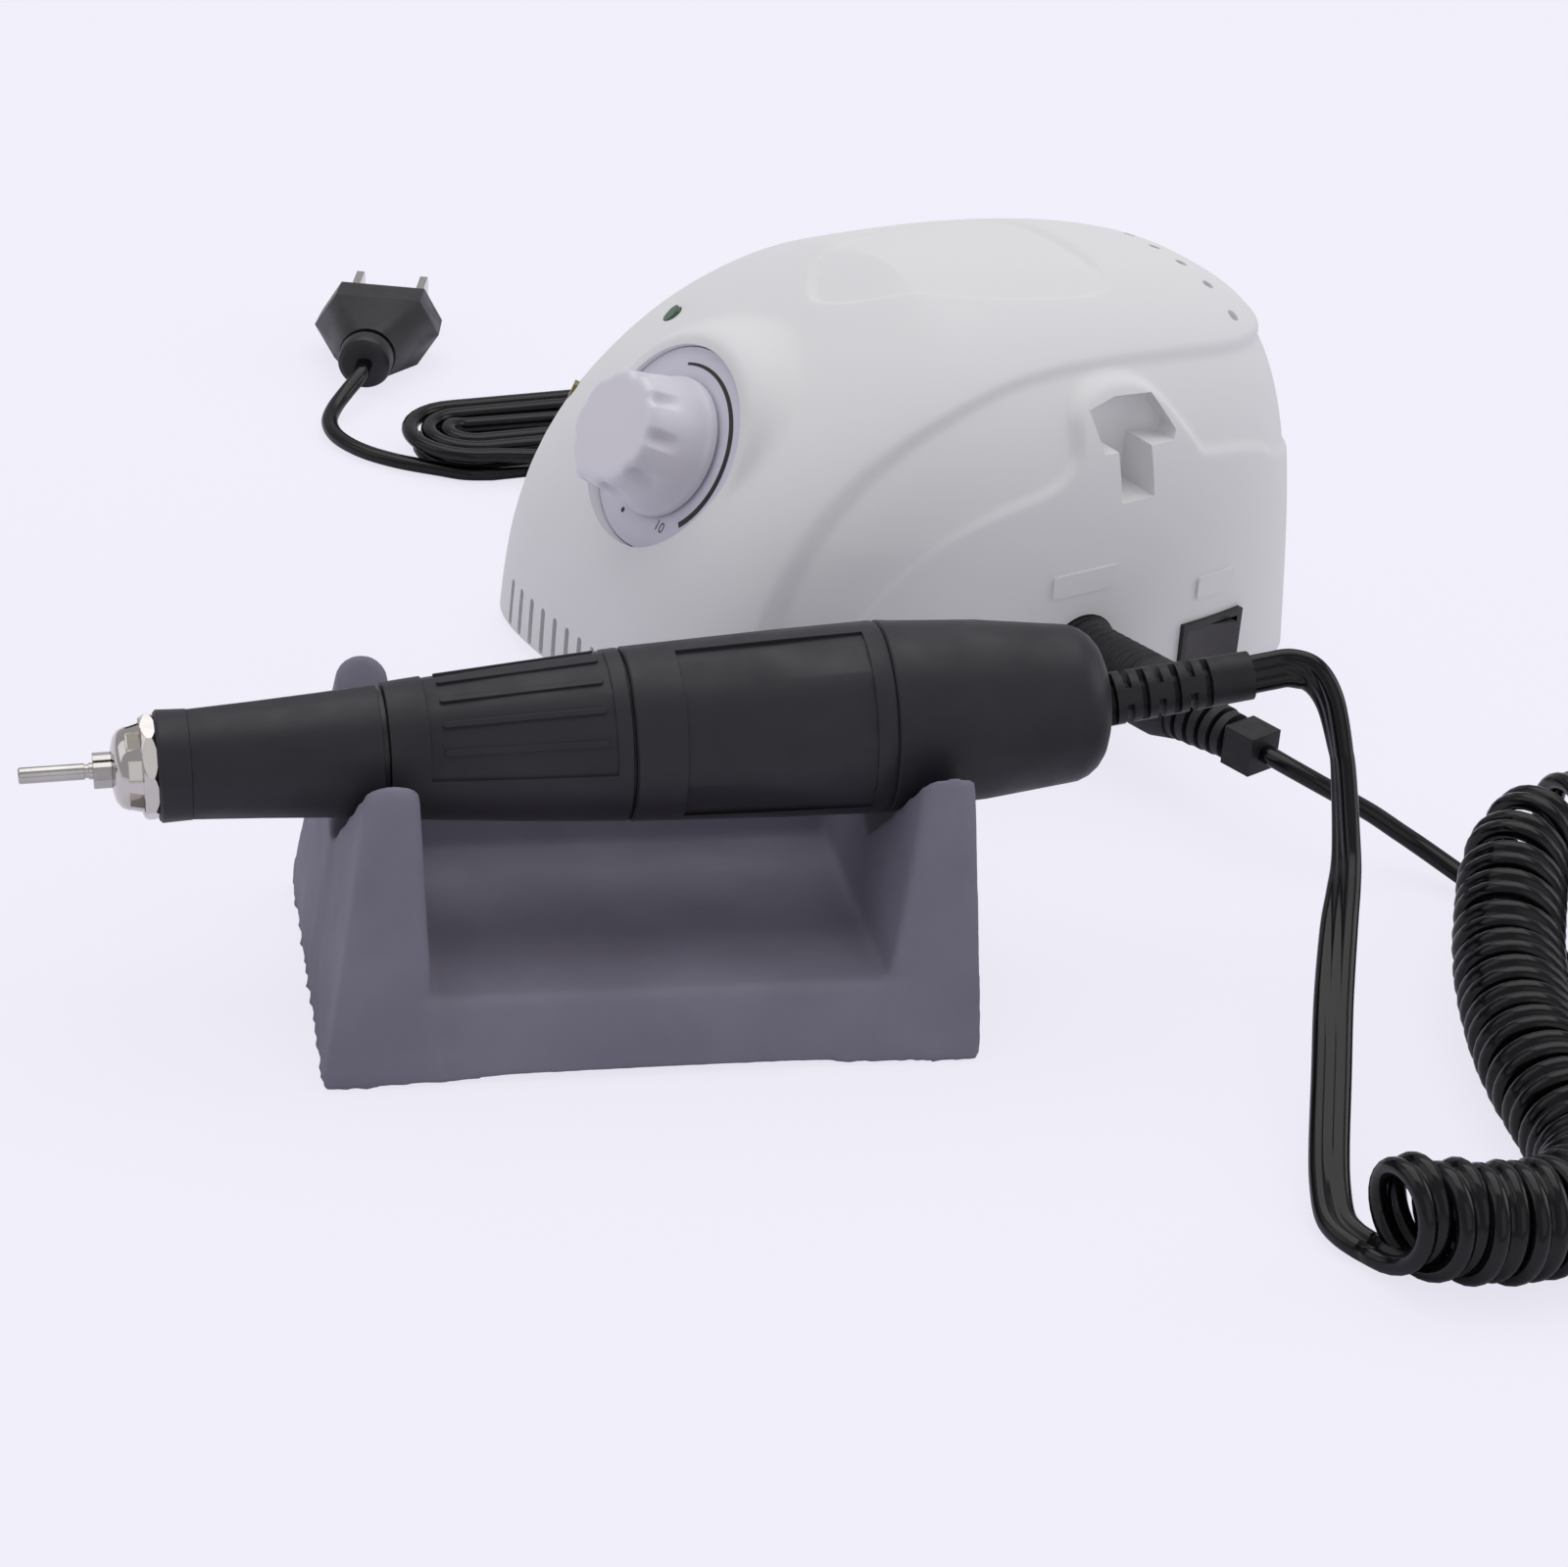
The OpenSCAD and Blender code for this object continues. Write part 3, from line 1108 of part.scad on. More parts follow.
mains_plug_pos = [-15.3, 216.8, 6.7];
mains_plug_turn = -14.6;
plug_face_w = 24.4;
plug_face_h = 13.2;
plug_top_w = 16.4;
plug_body_l = 21;
neck_d = 10.4;
neck_l = 5;
blade_h = 6.3;
blade_t = 1.5;
blade_l = 16;
blade_spread = 12.7;
module in_mains_plug() {
    in_set() translate(mains_plug_pos) rotate([0, 0, mains_plug_turn]) rotate([-90, 0, 0]) children();
}
module mains_plug() {
    color("black") in_mains_plug() {
        rotate_extrude($fn = 40) polygon([[0, 0], [neck_d / 2 - 1, 0], [neck_d / 2 - 0.3, 0.4],
            [neck_d / 2, 1.2],
            [neck_d / 2, neck_l - 1], [neck_d / 2 - 0.7, neck_l - 0.6], [neck_d / 2 - 0.7, neck_l + 1],
                [0, neck_l + 1]]);
        hull() {
            translate([0, 0, neck_l]) cylinder(d = neck_d + 0.6, h = 1, $fn = 24);
            translate([0, 0, neck_l + plug_body_l * 0.62]) plug_outline(0);
            translate([0, 0, neck_l + plug_body_l - 1]) plug_outline(0.3);
        }
    }
}
module plug_outline(shrink) {
    linear_extrude(height = 1) polygon([[-plug_face_w / 2 + shrink, 0],
        [-plug_top_w / 2, plug_face_h / 2 - shrink],
        [plug_top_w / 2, plug_face_h / 2 - shrink], [plug_face_w / 2 - shrink, 0],
        [plug_top_w / 2, -plug_face_h / 2 + shrink], [-plug_top_w / 2, -plug_face_h / 2 + shrink]]);
}
module mains_blade(side) {
    color("silver") in_mains_plug() translate([side * blade_spread / 2, 0, neck_l + plug_body_l])
        rotate([0, -90, 0]) linear_extrude(height = blade_t, center = true)
            polygon([[0, -blade_h / 2], [blade_l - 1.6, -blade_h / 2], [blade_l, -blade_h / 2 + 1.6],
                [blade_l, blade_h / 2 - 1.6], [blade_l - 1.6, blade_h / 2], [0, blade_h / 2]]);
}
module mains_blade_left() { mains_blade(-1); }
module mains_blade_right() { mains_blade(1); }

upper_housing();
base_plate();
rubber_foot(0);  // rubber_foot_1
rubber_foot(1);  // rubber_foot_2
rubber_foot(2);  // rubber_foot_3
rubber_foot(3);  // rubber_foot_4
dial_plate();
speed_knob();
pot_shaft();
potentiometer();
power_lens();
overload_lens();
rocker_frame();
rocker();
motor_socket();
mains_gland();
transformer_core();
transformer_coil();
circuit_board();
motor_plug();
plug_boot();
tool_shank();
collet();
nose_cap();
nose_collar();
front_sleeve();
seal_ring();
twist_sleeve();
inner_barrel();
motor_housing();
tail_cap();
strain_relief();
spindle();
front_bearing();
middle_bearing();
coupling();
motor_shaft();
motor_bearing();
magnet_ring();
armature();
commutator();
brush_top();
brush_bottom();
rear_bearing();
cradle();
motor_cord_drop();
motor_cord_curl();
motor_cord_lead();
mains_cord_end();
mains_hank();
mains_cord_tail();
mains_plug();
mains_blade_left();
mains_blade_right();
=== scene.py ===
# %% [markdown]
# # A micromotor set: box, handpiece, cradle and cords
# The set is a control box, a motor handpiece resting in a rubber cradle, a curly motor cord and a mains lead.
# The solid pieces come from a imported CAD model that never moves. This script gives them their finishes
# and models what CAD leaves plain: the cords, the soft creases of the upper housing, the scallops of the
# speed knob, the print on the dial and the soft rubber of the cradle.

# %% Load the frame
import json
import math

import bmesh
import bpy
import numpy as np
from mathutils import Matrix, Vector, noise


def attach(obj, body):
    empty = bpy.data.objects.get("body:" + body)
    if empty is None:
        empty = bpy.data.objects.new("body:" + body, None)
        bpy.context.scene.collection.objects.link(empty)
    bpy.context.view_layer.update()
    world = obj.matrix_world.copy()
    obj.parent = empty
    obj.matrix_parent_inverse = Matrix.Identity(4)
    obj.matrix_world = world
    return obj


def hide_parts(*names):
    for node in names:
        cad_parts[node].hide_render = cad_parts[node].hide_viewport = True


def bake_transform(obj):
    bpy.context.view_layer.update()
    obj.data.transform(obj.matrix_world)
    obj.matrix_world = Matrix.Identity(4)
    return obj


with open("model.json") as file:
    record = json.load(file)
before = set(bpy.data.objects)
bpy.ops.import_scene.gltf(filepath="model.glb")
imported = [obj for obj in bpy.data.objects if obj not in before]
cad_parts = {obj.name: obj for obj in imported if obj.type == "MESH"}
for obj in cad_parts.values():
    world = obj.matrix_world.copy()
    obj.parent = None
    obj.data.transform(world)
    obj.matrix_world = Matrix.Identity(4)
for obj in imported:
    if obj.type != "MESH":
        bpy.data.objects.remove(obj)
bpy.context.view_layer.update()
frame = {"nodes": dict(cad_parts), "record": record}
nodes = frame["nodes"]

# %% [markdown]
# ## Units and places
# Blender works in metres, while a maker thinks in millimetres, so sizes are written in millimetres and
# turned once. The set is laid out from the middle of the cradle, and one shift moves that to the origin.
# Every new object goes into the scene in the same way, so that is a small function as well.

# %% Millimetres, the middle of the cradle and new objects
MM = 0.001
CRADLE_MIDDLE = Vector((-22.06, -68.17, 0))


def in_row(point):
    """A point seen from the middle of the cradle, in millimetres, as a place in the scene."""
    return (Vector(point) + CRADLE_MIDDLE) * MM


def unit(v):
    """The same direction with a length of 1."""
    return v / np.linalg.norm(v)


def put_in_scene(name, data):
    """A new object of the scene, made from its mesh, lamp or camera data."""
    piece = bpy.data.objects.new(name, data)
    bpy.context.scene.collection.objects.link(piece)
    return piece


# %% [markdown]
# ## Camera
# A long lens looks down at the set from the front, a little from the left, and is rolled by a few degrees.
# The camera is turned by its own three axes, which is easier to read than a chain of angles.

# %% Camera
LENS = 95.12            # millimetres, on a sensor 36 mm wide
HEADING = 13.927        # degrees to the right of the +Y direction
LOOK_DOWN = 28.006
ROLL = 4.731
CAMERA_AT = (-108.316, -520.459, 315.801)

heading, look_down, roll = (math.radians(a) for a in (HEADING, LOOK_DOWN, ROLL))
forward = Vector((math.sin(heading) * math.cos(look_down), math.cos(heading) * math.cos(look_down),
                  -math.sin(look_down)))
level = Vector((math.cos(heading), -math.sin(heading), 0))
upright = level.cross(forward)
right = level * math.cos(roll) + upright * math.sin(roll)
top = upright * math.cos(roll) - level * math.sin(roll)

camera_data = bpy.data.cameras.new("camera")
camera_data.lens = LENS
camera_data.sensor_width = 36
camera = put_in_scene("camera", camera_data)
camera.matrix_world = Matrix((right, top, -forward)).transposed().to_4x4()
camera.location = in_row(CAMERA_AT)
bpy.context.scene.camera = camera
print("camera at", [round(x, 3) for x in camera.location])

# %% [markdown]
# ## Cords: a smooth line and a profile
# A cord could be a curve with a bevel, but the motor cord is flat, with three cores side by side, and it has
# to keep its broad side where it belongs. So each cord is a mesh: rings of one profile set along a line.
# The line goes smoothly through listed points.

# %% Smooth line


def smooth_line(points, steps):
    """A curve through the points, with steps pieces between neighbours."""
    p = [np.array(q, float) for q in points]
    line = []
    for i in range(len(p) - 1):
        a, b, c, d = p[max(i - 1, 0)], p[i], p[i + 1], p[min(i + 2, len(p) - 1)]
        for k in range(steps):
            t = k / steps
            line.append(0.5 * (2 * b + (c - a) * t + (2 * a - 5 * b + 4 * c - d) * t * t
                               + (3 * b - a - 3 * c + d) * t ** 3))
    return line + [p[-1]]


def line_length(line):
    """Length along a line, in the units of its points."""
    return sum(np.linalg.norm(b - a) for a, b in zip(line, line[1:]))


# %% Profiles of the cords


def cored_profile(width, thickness, two_cores=0.0):
    """Outline of a flat cord with three round cores side by side, or by a share with two."""
    x = width / 2 * np.cos(np.linspace(0, math.pi, 25))
    half = {}
    for cores in (2, 3):
        middles = np.linspace(-1, 1, cores) * (width - thickness) / 2
        rise = [(thickness / 2) ** 2 - (x - middle) ** 2 for middle in middles]
        half[cores] = np.sqrt(np.maximum(np.max(rise, axis=0), 0))
    y = half[3] + (half[2] - half[3]) * two_cores
    return [*zip(x, y), *zip(x[-2:0:-1], -y[-2:0:-1])]


def oval_profile(width, thickness):
    """Outline of a flat cord with two straight sides and round edges."""
    reach = (width - thickness) / 2
    outline = []
    for side in (1, -1):
        outline += [(side * (reach + thickness / 2 * math.cos(a)), side * thickness / 2 * math.sin(a))
                    for a in np.linspace(-math.pi / 2, math.pi / 2, 9)]
    return outline


# %% Rings and tubes


def ring(centre, across, out, profile):
    """A profile set round a point, with its broad side along across."""
    return [centre + across * x + out * y for x, y in profile]


def facing_rings(line, facings, profiles):
    """Rings along a line. The broad side looks along the facings, which are spread evenly over the line."""
    rings = []
    spots = np.linspace(0, 1, len(facings))
    for i, centre in enumerate(line):
        ahead = unit(line[min(i + 1, len(line) - 1)] - line[max(i - 1, 0)])
        share = i / (len(line) - 1)
        facing = np.array([np.interp(share, spots, [f[k] for f in facings]) for k in range(3)])
        across = unit(np.cross(facing, ahead))
        rings.append(ring(centre, across, np.cross(ahead, across), profiles(share)))
    return rings


def side_faces(rings):
    """Faces between neighbouring rings of equal point counts."""
    count = len(rings[0])
    faces = []
    for here in range(0, (len(rings) - 1) * count, count):
        there = here + count
        faces += [(here + j, here + (j + 1) % count, there + (j + 1) % count, there + j)
                  for j in range(count)]
    return faces


def tube(name, rings):
    """A closed mesh through rings of equal point counts, in millimetres seen from the cradle."""
    count = len(rings[0])
    points = [in_row(p) for one in rings for p in one]
    faces = side_faces(rings)
    faces += [tuple(reversed(range(count))), tuple(range(len(points) - count, len(points)))]
    mesh = bpy.data.meshes.new(name)
    mesh.from_pydata(points, [], faces)
    mesh.shade_smooth()
    fix = bmesh.new()
    fix.from_mesh(mesh)
    bmesh.ops.recalc_face_normals(fix, faces=fix.faces)
    fix.to_mesh(mesh)
    fix.free()
    print(name, "has", len(rings), "rings of", count, "points")
    return put_in_scene(name, mesh)


# %% [markdown]
# ## Motor cord, hanging stretch
# The flat cord leaves the strain relief of the handpiece, bends over and falls to the table.

# %% Hanging stretch of the motor cord
CORD_WIDTH = 5.8
CORD_THICKNESS = 2.8
TWO_RIDGES_FROM = 0.75  # share of the hanging stretch from which the cores close up to two ridges
DROP_ROUTE = [(90.1, 0, 46.3), (93.3, 0, 46.9), (96.5, -0.4, 47.5), (99.8, -1.5, 46.6),
              (102.1, -3.6, 43.4), (103.3, -7, 37.9), (103.4, -10, 34.3), (102.3, -18, 26),
              (100.5, -23.5, 22.9), (98.2, -29.5, 20), (93.9, -42, 15.2), (90.1, -54.4, 10.6),
              (86.4, -66.4, 6.2), (84.9, -72.4, 3.9), (84.2, -77.4, 2.4), (84.9, -80.8, 2)]
DROP_FACINGS = [(-0.33, -0.79, 0.51), (-0.96, 0.04, -0.07), (0, 0.1, 1)]

# %% [markdown]
# ## Motor cord, curly stretch
# The curls are a helix that winds round a line on the table. The turns are closed up in the first row, a
# little more open on the arc and most open past it, and the first turns stand askew. A table says how far
# along the line each turn lies, so the spacing is changed by a few numbers and not by moving points.

# %% Helix of the curly stretch
CURL_DIAMETER = 17
CURL_ROUTE = [(88, -86, 9), (94.4, -88.6, 9), (103, -90, 8.8), (111, -88.6, 8.8), (117.4, -84.2, 8.8),
              (121.4, -76.6, 8.8), (122, -66, 8.8), (122.4, -54, 8.8), (124, -42, 8.8), (127, -28, 10),
              (130.8, -16.6, 12.4), (137, -3, 14), (146, 7, 14), (158, 11, 12), (169, 7.4, 9.6),
              (176, -2, 8.8), (179, -16, 8.8), (180, -34, 8.8), (180, -58, 8.8)]
CURL_STEPS = 30
curl_radius = (CURL_DIAMETER - CORD_THICKNESS) / 2
curl_line = np.array(smooth_line(CURL_ROUTE, 8))
curl_run = np.concatenate([[0], np.cumsum(np.linalg.norm(np.diff(curl_line, axis=0), axis=1))])
# Turns, and how far along the line they lie in millimetres.
TURN_PLACES = [(0, 0), (5.4, 29.7), (7.6, 46), (16.8, 110), (19, 129), (28, curl_run[-1])]
# Turns, and how many degrees they stand askew.
TURN_SKEW = [(0, 50), (1, 38), (2.4, 16), (4, 0), (99, 0)]
TURNS = TURN_PLACES[-1][0]


# %% Points and rings of the curls


def from_table(x, table):
    """Value at x of a table with rows of x and value."""
    return np.interp(x, [row[0] for row in table], [row[1] for row in table])


def on_curl_line(s):
    """The point of the line so many millimetres from its start."""
    return np.array([np.interp(s, curl_run, curl_line[:, k]) for k in range(3)])


def curl_point(turn):
    """Middle of the cord after so many turns."""
    s = from_table(turn, TURN_PLACES)
    ahead = unit(on_curl_line(s + 0.6) - on_curl_line(s - 0.6))
    skew = math.radians(from_table(turn, TURN_SKEW))
    ahead = np.array([ahead[0] * math.cos(skew) - ahead[1] * math.sin(skew),
                      ahead[0] * math.sin(skew) + ahead[1] * math.cos(skew), ahead[2]])
    side = unit(np.cross(ahead, (0, 0, 1)))
    above = np.cross(side, ahead)
    angle = 2 * math.pi * turn
    return on_curl_line(s) + curl_radius * (math.sin(angle) * side - math.cos(angle) * above)


def curl_ring(turn, profile):
    """The cord's profile after so many turns, with its broad side on the coil."""
    centre = curl_point(turn)
    ahead = unit(curl_point(turn + 0.02) - curl_point(turn - 0.02))
    outwards = unit(centre - on_curl_line(from_table(turn, TURN_PLACES)))
    across = unit(np.cross(ahead, outwards))
    return ring(centre, across, np.cross(ahead, across), profile)


curl_start_way = unit(curl_point(0.02) - curl_point(0))
curl_end_way = unit(curl_point(TURNS) - curl_point(TURNS - 0.02))
curl_start = curl_point(0) - curl_start_way * CORD_THICKNESS
curl_end = curl_point(TURNS) + curl_end_way * CORD_THICKNESS

# %% Mesh of the hanging stretch
drop_line = smooth_line([*DROP_ROUTE, curl_start - curl_start_way * 0.1], 8)


def drop_profile(share):
    """Three cores at the handpiece, which lie as two ridges where the cord is wound."""
    late = min(max((share - TWO_RIDGES_FROM) / (1 - TWO_RIDGES_FROM), 0), 1)
    return cored_profile(CORD_WIDTH, CORD_THICKNESS, late)


curl_up = -unit(curl_point(0) - on_curl_line(0))
drop_cord = tube("drop_cord", facing_rings(drop_line, [*DROP_FACINGS, curl_up], drop_profile))
print("hanging stretch:", round(line_length(drop_line)), "mm")

# %% [markdown]
# ## Motor cord, straight end
# Past the last curl the cord runs straight to the plug on the box. The curls and this end are one piece of
# cord, so they are one mesh, and the profile narrows evenly to the round end that enters the plug boot.

# %% Curls and straight end as one cord
LEAD_ROUTE = [(107.1, 33.2, 15.3), (109.5, 29.6, 14.9), (113.6, 26.6, 13.4), (118.1, 24.5, 11.4),
              (122.7, 22.7, 9.2), (126.5, 20.7, 7.1), (130.2, 18.2, 5.2), (135.6, 11.6, 3), (139.8, 3.4, 1.9),
              (142.6, -8, 1.8), (142, -20, 1.8), (144, -33, 1.8), (150, -46, 1.8), (159, -54.6, 1.8),
              (168, -58.6, 1.8)]
LEAD_WIDTH = 3.3
NARROWING = 0.25        # share of the straight end over which the cord narrows

curl_profile = cored_profile(CORD_WIDTH, CORD_THICKNESS, 1.0)
turn_steps = [i / CURL_STEPS for i in range(TURNS * CURL_STEPS + 1)]
curl_rings = [[p - curl_start_way * CORD_THICKNESS for p in curl_ring(0, curl_profile)]]
curl_rings += [curl_ring(turn, curl_profile) for turn in turn_steps]
lead_line = smooth_line([curl_end, *reversed(LEAD_ROUTE)], 6)


def lead_profile(share):
    width = CORD_WIDTH + (LEAD_WIDTH - CORD_WIDTH) * min(share / NARROWING, 1)
    return [(-x, -y) for x, y in cored_profile(width, CORD_THICKNESS, 1.0)]


curly_cord = tube("curly_cord", curl_rings + facing_rings(lead_line, [(0, 0, 1)], lead_profile))

# %% [markdown]
# ## Mains lead
# The flat mains lead leaves the gland behind the box. What is not needed lies in a hank, and the loose end
# carries the plug. Half of the loops lie on the table and half on top of them, one cord higher, and the
# lead winds inwards in one layer and outwards in the other.

# %% Hank of the mains lead
MAINS_WIDTH = 3.1
MAINS_THICKNESS = 2.5
HANK_AT = (1.6, 188.4)
HANK_TURN = 11
HANK_LENGTH = 90
HANK_BIG_RADIUS = 12.2
HANK_SMALL_RADIUS = 11.8
HANK_PITCH = 3.6
HANK_LOWEST = 1.6
HANK_LAYER = 3.6
HANK_LOOPS = 5
HANK_STRAIGHT, HANK_ROUND = 4, 8    # stations on each straight run and on each round end
HANK_CLIMB = 12         # stations over which the lead climbs to the upper layer
HANK_STEPS = 2 * (HANK_STRAIGHT + HANK_ROUND)
hank_lean = math.asin((HANK_BIG_RADIUS - HANK_SMALL_RADIUS) / HANK_LENGTH)
hank_half = HANK_LOOPS / 2 * HANK_STEPS


def hank_point(k):
    """Middle of the lead at a station of the hank, seen from the middle of the cradle."""
    shrink = HANK_PITCH * min(k, 2 * hank_half - k) / HANK_STEPS
    big, small, q = HANK_BIG_RADIUS - shrink, HANK_SMALL_RADIUS - shrink, k % HANK_STEPS
    ends = (hank_lean, math.pi - hank_lean)
    near = [(big * math.sin(a), -big * math.cos(a)) for a in ends]
    far = [(HANK_LENGTH + small * math.sin(a), -small * math.cos(a)) for a in ends]
    way_back = q >= HANK_STEPS / 2
    start, goal = (far[1], near[1]) if way_back else (near[0], far[0])
    along = (q - way_back * HANK_STEPS / 2) / HANK_STRAIGHT
    bent = (q - way_back * HANK_STEPS / 2 - HANK_STRAIGHT) / HANK_ROUND
    if along < 1:
        x, y = (1 - along) * np.array(start) + along * np.array(goal)
    elif way_back:
        a = math.pi - hank_lean + (math.pi + 2 * hank_lean) * bent
        x, y = big * math.sin(a), -big * math.cos(a)
    else:
        a = hank_lean + (math.pi - 2 * hank_lean) * bent
        x, y = HANK_LENGTH + small * math.sin(a), -small * math.cos(a)
    turn = math.radians(HANK_TURN)
    height = HANK_LOWEST + HANK_LAYER * min(max((k - hank_half) / HANK_CLIMB + 0.5, 0), 1)
    return np.array([HANK_AT[0] + x * math.cos(turn) - y * math.sin(turn),
                     HANK_AT[1] + x * math.sin(turn) + y * math.cos(turn), height])


# %% Route and mesh of the mains lead
MAINS_END_ROUTE = [(-15.3, 216.8, 6.7), (-16.6, 213.2, 5.8), (-19.4, 209.8, 4), (-22.2, 205.2, 2.6),
                   (-23.6, 200, 1.9), (-22.6, 194, 1.6), (-18.8, 187.6, 1.6), (-12.8, 182.6, 1.6),
                   (-5.4, 178.8, 1.6), (-1, 176.8, 1.6)]
MAINS_TAIL_ROUTE = [(31.57, 153.58, 12), (30.5, 156.4, 12), (29.4, 160.4, 11.2), (26.6, 166.4, 9.2),
                    (21.6, 171.4, 7), (14.6, 174.8, 5.6)]
HANK_FINENESS = 2       # rings for each station of the hank

hank_line = [hank_point(k / HANK_FINENESS) for k in range(int(2 * hank_half * HANK_FINENESS), -1, -1)]
tail_line = smooth_line([*MAINS_TAIL_ROUTE, hank_line[0]], 5)
end_line = smooth_line([hank_line[-1], *reversed(MAINS_END_ROUTE)], 5)
mains_line = tail_line[:-1] + hank_line + end_line[1:]
mains_profile = oval_profile(MAINS_WIDTH, MAINS_THICKNESS)
mains_lead = tube("mains_lead", facing_rings(mains_line, [(0, 0, 1)], lambda share: mains_profile))
print("mains lead:", round(line_length(mains_line)), "mm")

# %% [markdown]
# ## Tie round the hank
# A thin strap holds the hank at its middle. It lies flat under the loops and goes once round them. It is
# made like a cord, from rings of one thin profile along a line with four round corners.

# %% Strap round the hank
TIE_HALF_WIDTH = 14.4
TIE_LOW, TIE_TOP = 0.17, 6.75
TIE_CORNER = 1.6
TIE_STRAP = (5, 0.26)   # width and thickness
TIE_JOIN = 0.05         # how far the end lies past the start
CORNER_POINTS = 7
strap_points, strap_facings = [], []
for y_way, z_way, start in ((1, -1, -90), (1, 1, 0), (-1, 1, 90), (-1, -1, 180)):
    for a in np.radians(np.linspace(start, start + 90, CORNER_POINTS)):
        out = np.array([0, math.cos(a), math.sin(a)])
        middle = np.array([HANK_LENGTH / 2, y_way * (TIE_HALF_WIDTH - TIE_CORNER),
                           (TIE_TOP if z_way > 0 else TIE_LOW) - z_way * TIE_CORNER])
        strap_points.append(middle + TIE_CORNER * out)
        strap_facings.append(out)
strap_points.append(strap_points[0] - np.array([0, TIE_JOIN, 0]))
strap_facings.append(strap_facings[0])

hank_turn = Matrix.Rotation(math.radians(HANK_TURN), 3, "Z")
hank_along = np.array(hank_turn @ Vector((1, 0, 0)))
strap_profile = oval_profile(*TIE_STRAP)
strap_rings = []
for point, facing in zip(strap_points, strap_facings):
    centre = np.array(hank_turn @ Vector(point)) + np.array([*HANK_AT, 0])
    strap_rings.append(ring(centre, hank_along, np.array(hank_turn @ Vector(facing)), strap_profile))
hank_tie = tube("hank_tie", strap_rings)

# %% [markdown]
# ## Colours and nodes
# Colours are picked on a screen, so they are written as hex codes, and one function turns them to the
# linear values that the renderer works with. Another adds one node with its values, links and settings.

# %% Colours and nodes


def from_hex(code):
    """A colour that is written as on a screen, as the linear values of the renderer."""
    parts = [int(code[i:i + 2], 16) / 255 for i in (1, 3, 5)]
    return [*(p / 12.92 if p <= 0.04045 else ((p + 0.055) / 1.055) ** 2.4 for p in parts), 1]


def add(tree, kind, values=(), links=(), **settings):
    """One new node, with the values of its sockets, the links into them and its settings."""
    node = tree.nodes.new(kind)
    for name, value in settings.items():
        setattr(node, name, value)
    for socket, value in dict(values).items():
        node.inputs[socket].default_value = value
    for socket, source in dict(links).items():
        tree.links.new(source, node.inputs[socket])
    return node


# %% [markdown]
# ## Parts of a finish
# Each finish starts from one shader. Three things are then linked to it: what drives its colour, its
# gloss and its relief. Most patterns are noise, and their sizes are millimetres on the piece itself.

# %% Start and cover a finish


def start_finish(name, values):
    """A new material with one shader: the material, its tree, the shader and the place on the piece."""
    material = bpy.data.materials.new(name)
    material.use_nodes = True
    tree = material.node_tree
    tree.nodes.clear()
    shader = add(tree, "ShaderNodeBsdfPrincipled", values)
    add(tree, "ShaderNodeOutputMaterial", links={"Surface": shader.outputs[0]})
    place = add(tree, "ShaderNodeTexCoord").outputs["Object"]
    return material, tree, shader, place


def cover(tree, shader, colour, gloss=None, relief=None):
    """Link what drives the colour, the roughness and the relief of a finish to its shader."""
    for socket, source in (("Base Color", colour), ("Roughness", gloss), ("Normal", relief)):
        if source:
            tree.links.new(source, shader.inputs[socket])


def two_tone(tree, mix, low, high, start=0.0, end=1.0):
    """One colour below the start of a range of values, another above its end, and a blend between them."""
    ramp = add(tree, "ShaderNodeValToRGB", links={0: mix})
    first, last = ramp.color_ramp.elements
    first.position, first.color = start, from_hex(low)
    last.position, last.color = end, from_hex(high)
    return ramp.outputs[0]


# %% Patches, gloss and relief


def per_mm(spacing):
    """Texture scale that repeats about once in so many millimetres."""
    return 1 / (spacing * MM)


def blotches(tree, place, spacing, low, high, detail=3.0):
    """Soft random patches between two colours."""
    texture = add(tree, "ShaderNodeTexNoise", {"Scale": per_mm(spacing), "Detail": detail}, {"Vector": place})
    return two_tone(tree, texture.outputs[0], low, high, 0.35, 0.65)


def uneven_gloss(tree, place, spacing, low, high):
    """Roughness that wanders between two values."""
    texture = add(tree, "ShaderNodeTexNoise", {"Scale": per_mm(spacing), "Detail": 4.0}, {"Vector": place})
    return add(tree, "ShaderNodeMapRange", {"From Min": 0.3, "From Max": 0.7, "To Min": low, "To Max": high},
               {"Value": texture.outputs[0]}).outputs[0]


def grain(tree, place, spacing, depth, under=None, detail=2.0):
    """Fine relief of a depth in millimetres, laid over another normal."""
    texture = add(tree, "ShaderNodeTexNoise", {"Scale": per_mm(spacing), "Detail": detail}, {"Vector": place})
    links = {"Height": texture.outputs[0]}
    if under is not None:
        links["Normal"] = under
    return add(tree, "ShaderNodeBump", {"Strength": 1.0, "Distance": depth * MM}, links).outputs[0]


def rounded(tree, radius):
    """Edges catch the light as if they were rounded by a radius in millimetres."""
    return add(tree, "ShaderNodeBevel", {"Radius": radius * MM}, samples=4).outputs[0]


# %% [markdown]
# ## Plastics
# The box is glossy ABS from a polished mould: its skin is smooth with a faint orange peel, and its gloss
# varies a little. The handpiece has a charcoal soft-touch coat, which scatters light and has a fine grain.

# %% ABS, coated plastic and printed film


def moulded_abs(name, low, high, gloss, edge):
    """ABS from a polished mould: a smooth sheen with a faint orange peel and rounded edges."""
    material, tree, shader, place = start_finish(name, {"IOR": 1.54, "Specular IOR Level": 0.5})
    orange_peel = grain(tree, place, 5, 0.012, rounded(tree, edge))
    cover(tree, shader, blotches(tree, place, 60, low, high), uneven_gloss(tree, place, 25, *gloss),
          grain(tree, place, 0.6, 0.0025, orange_peel))
    return material


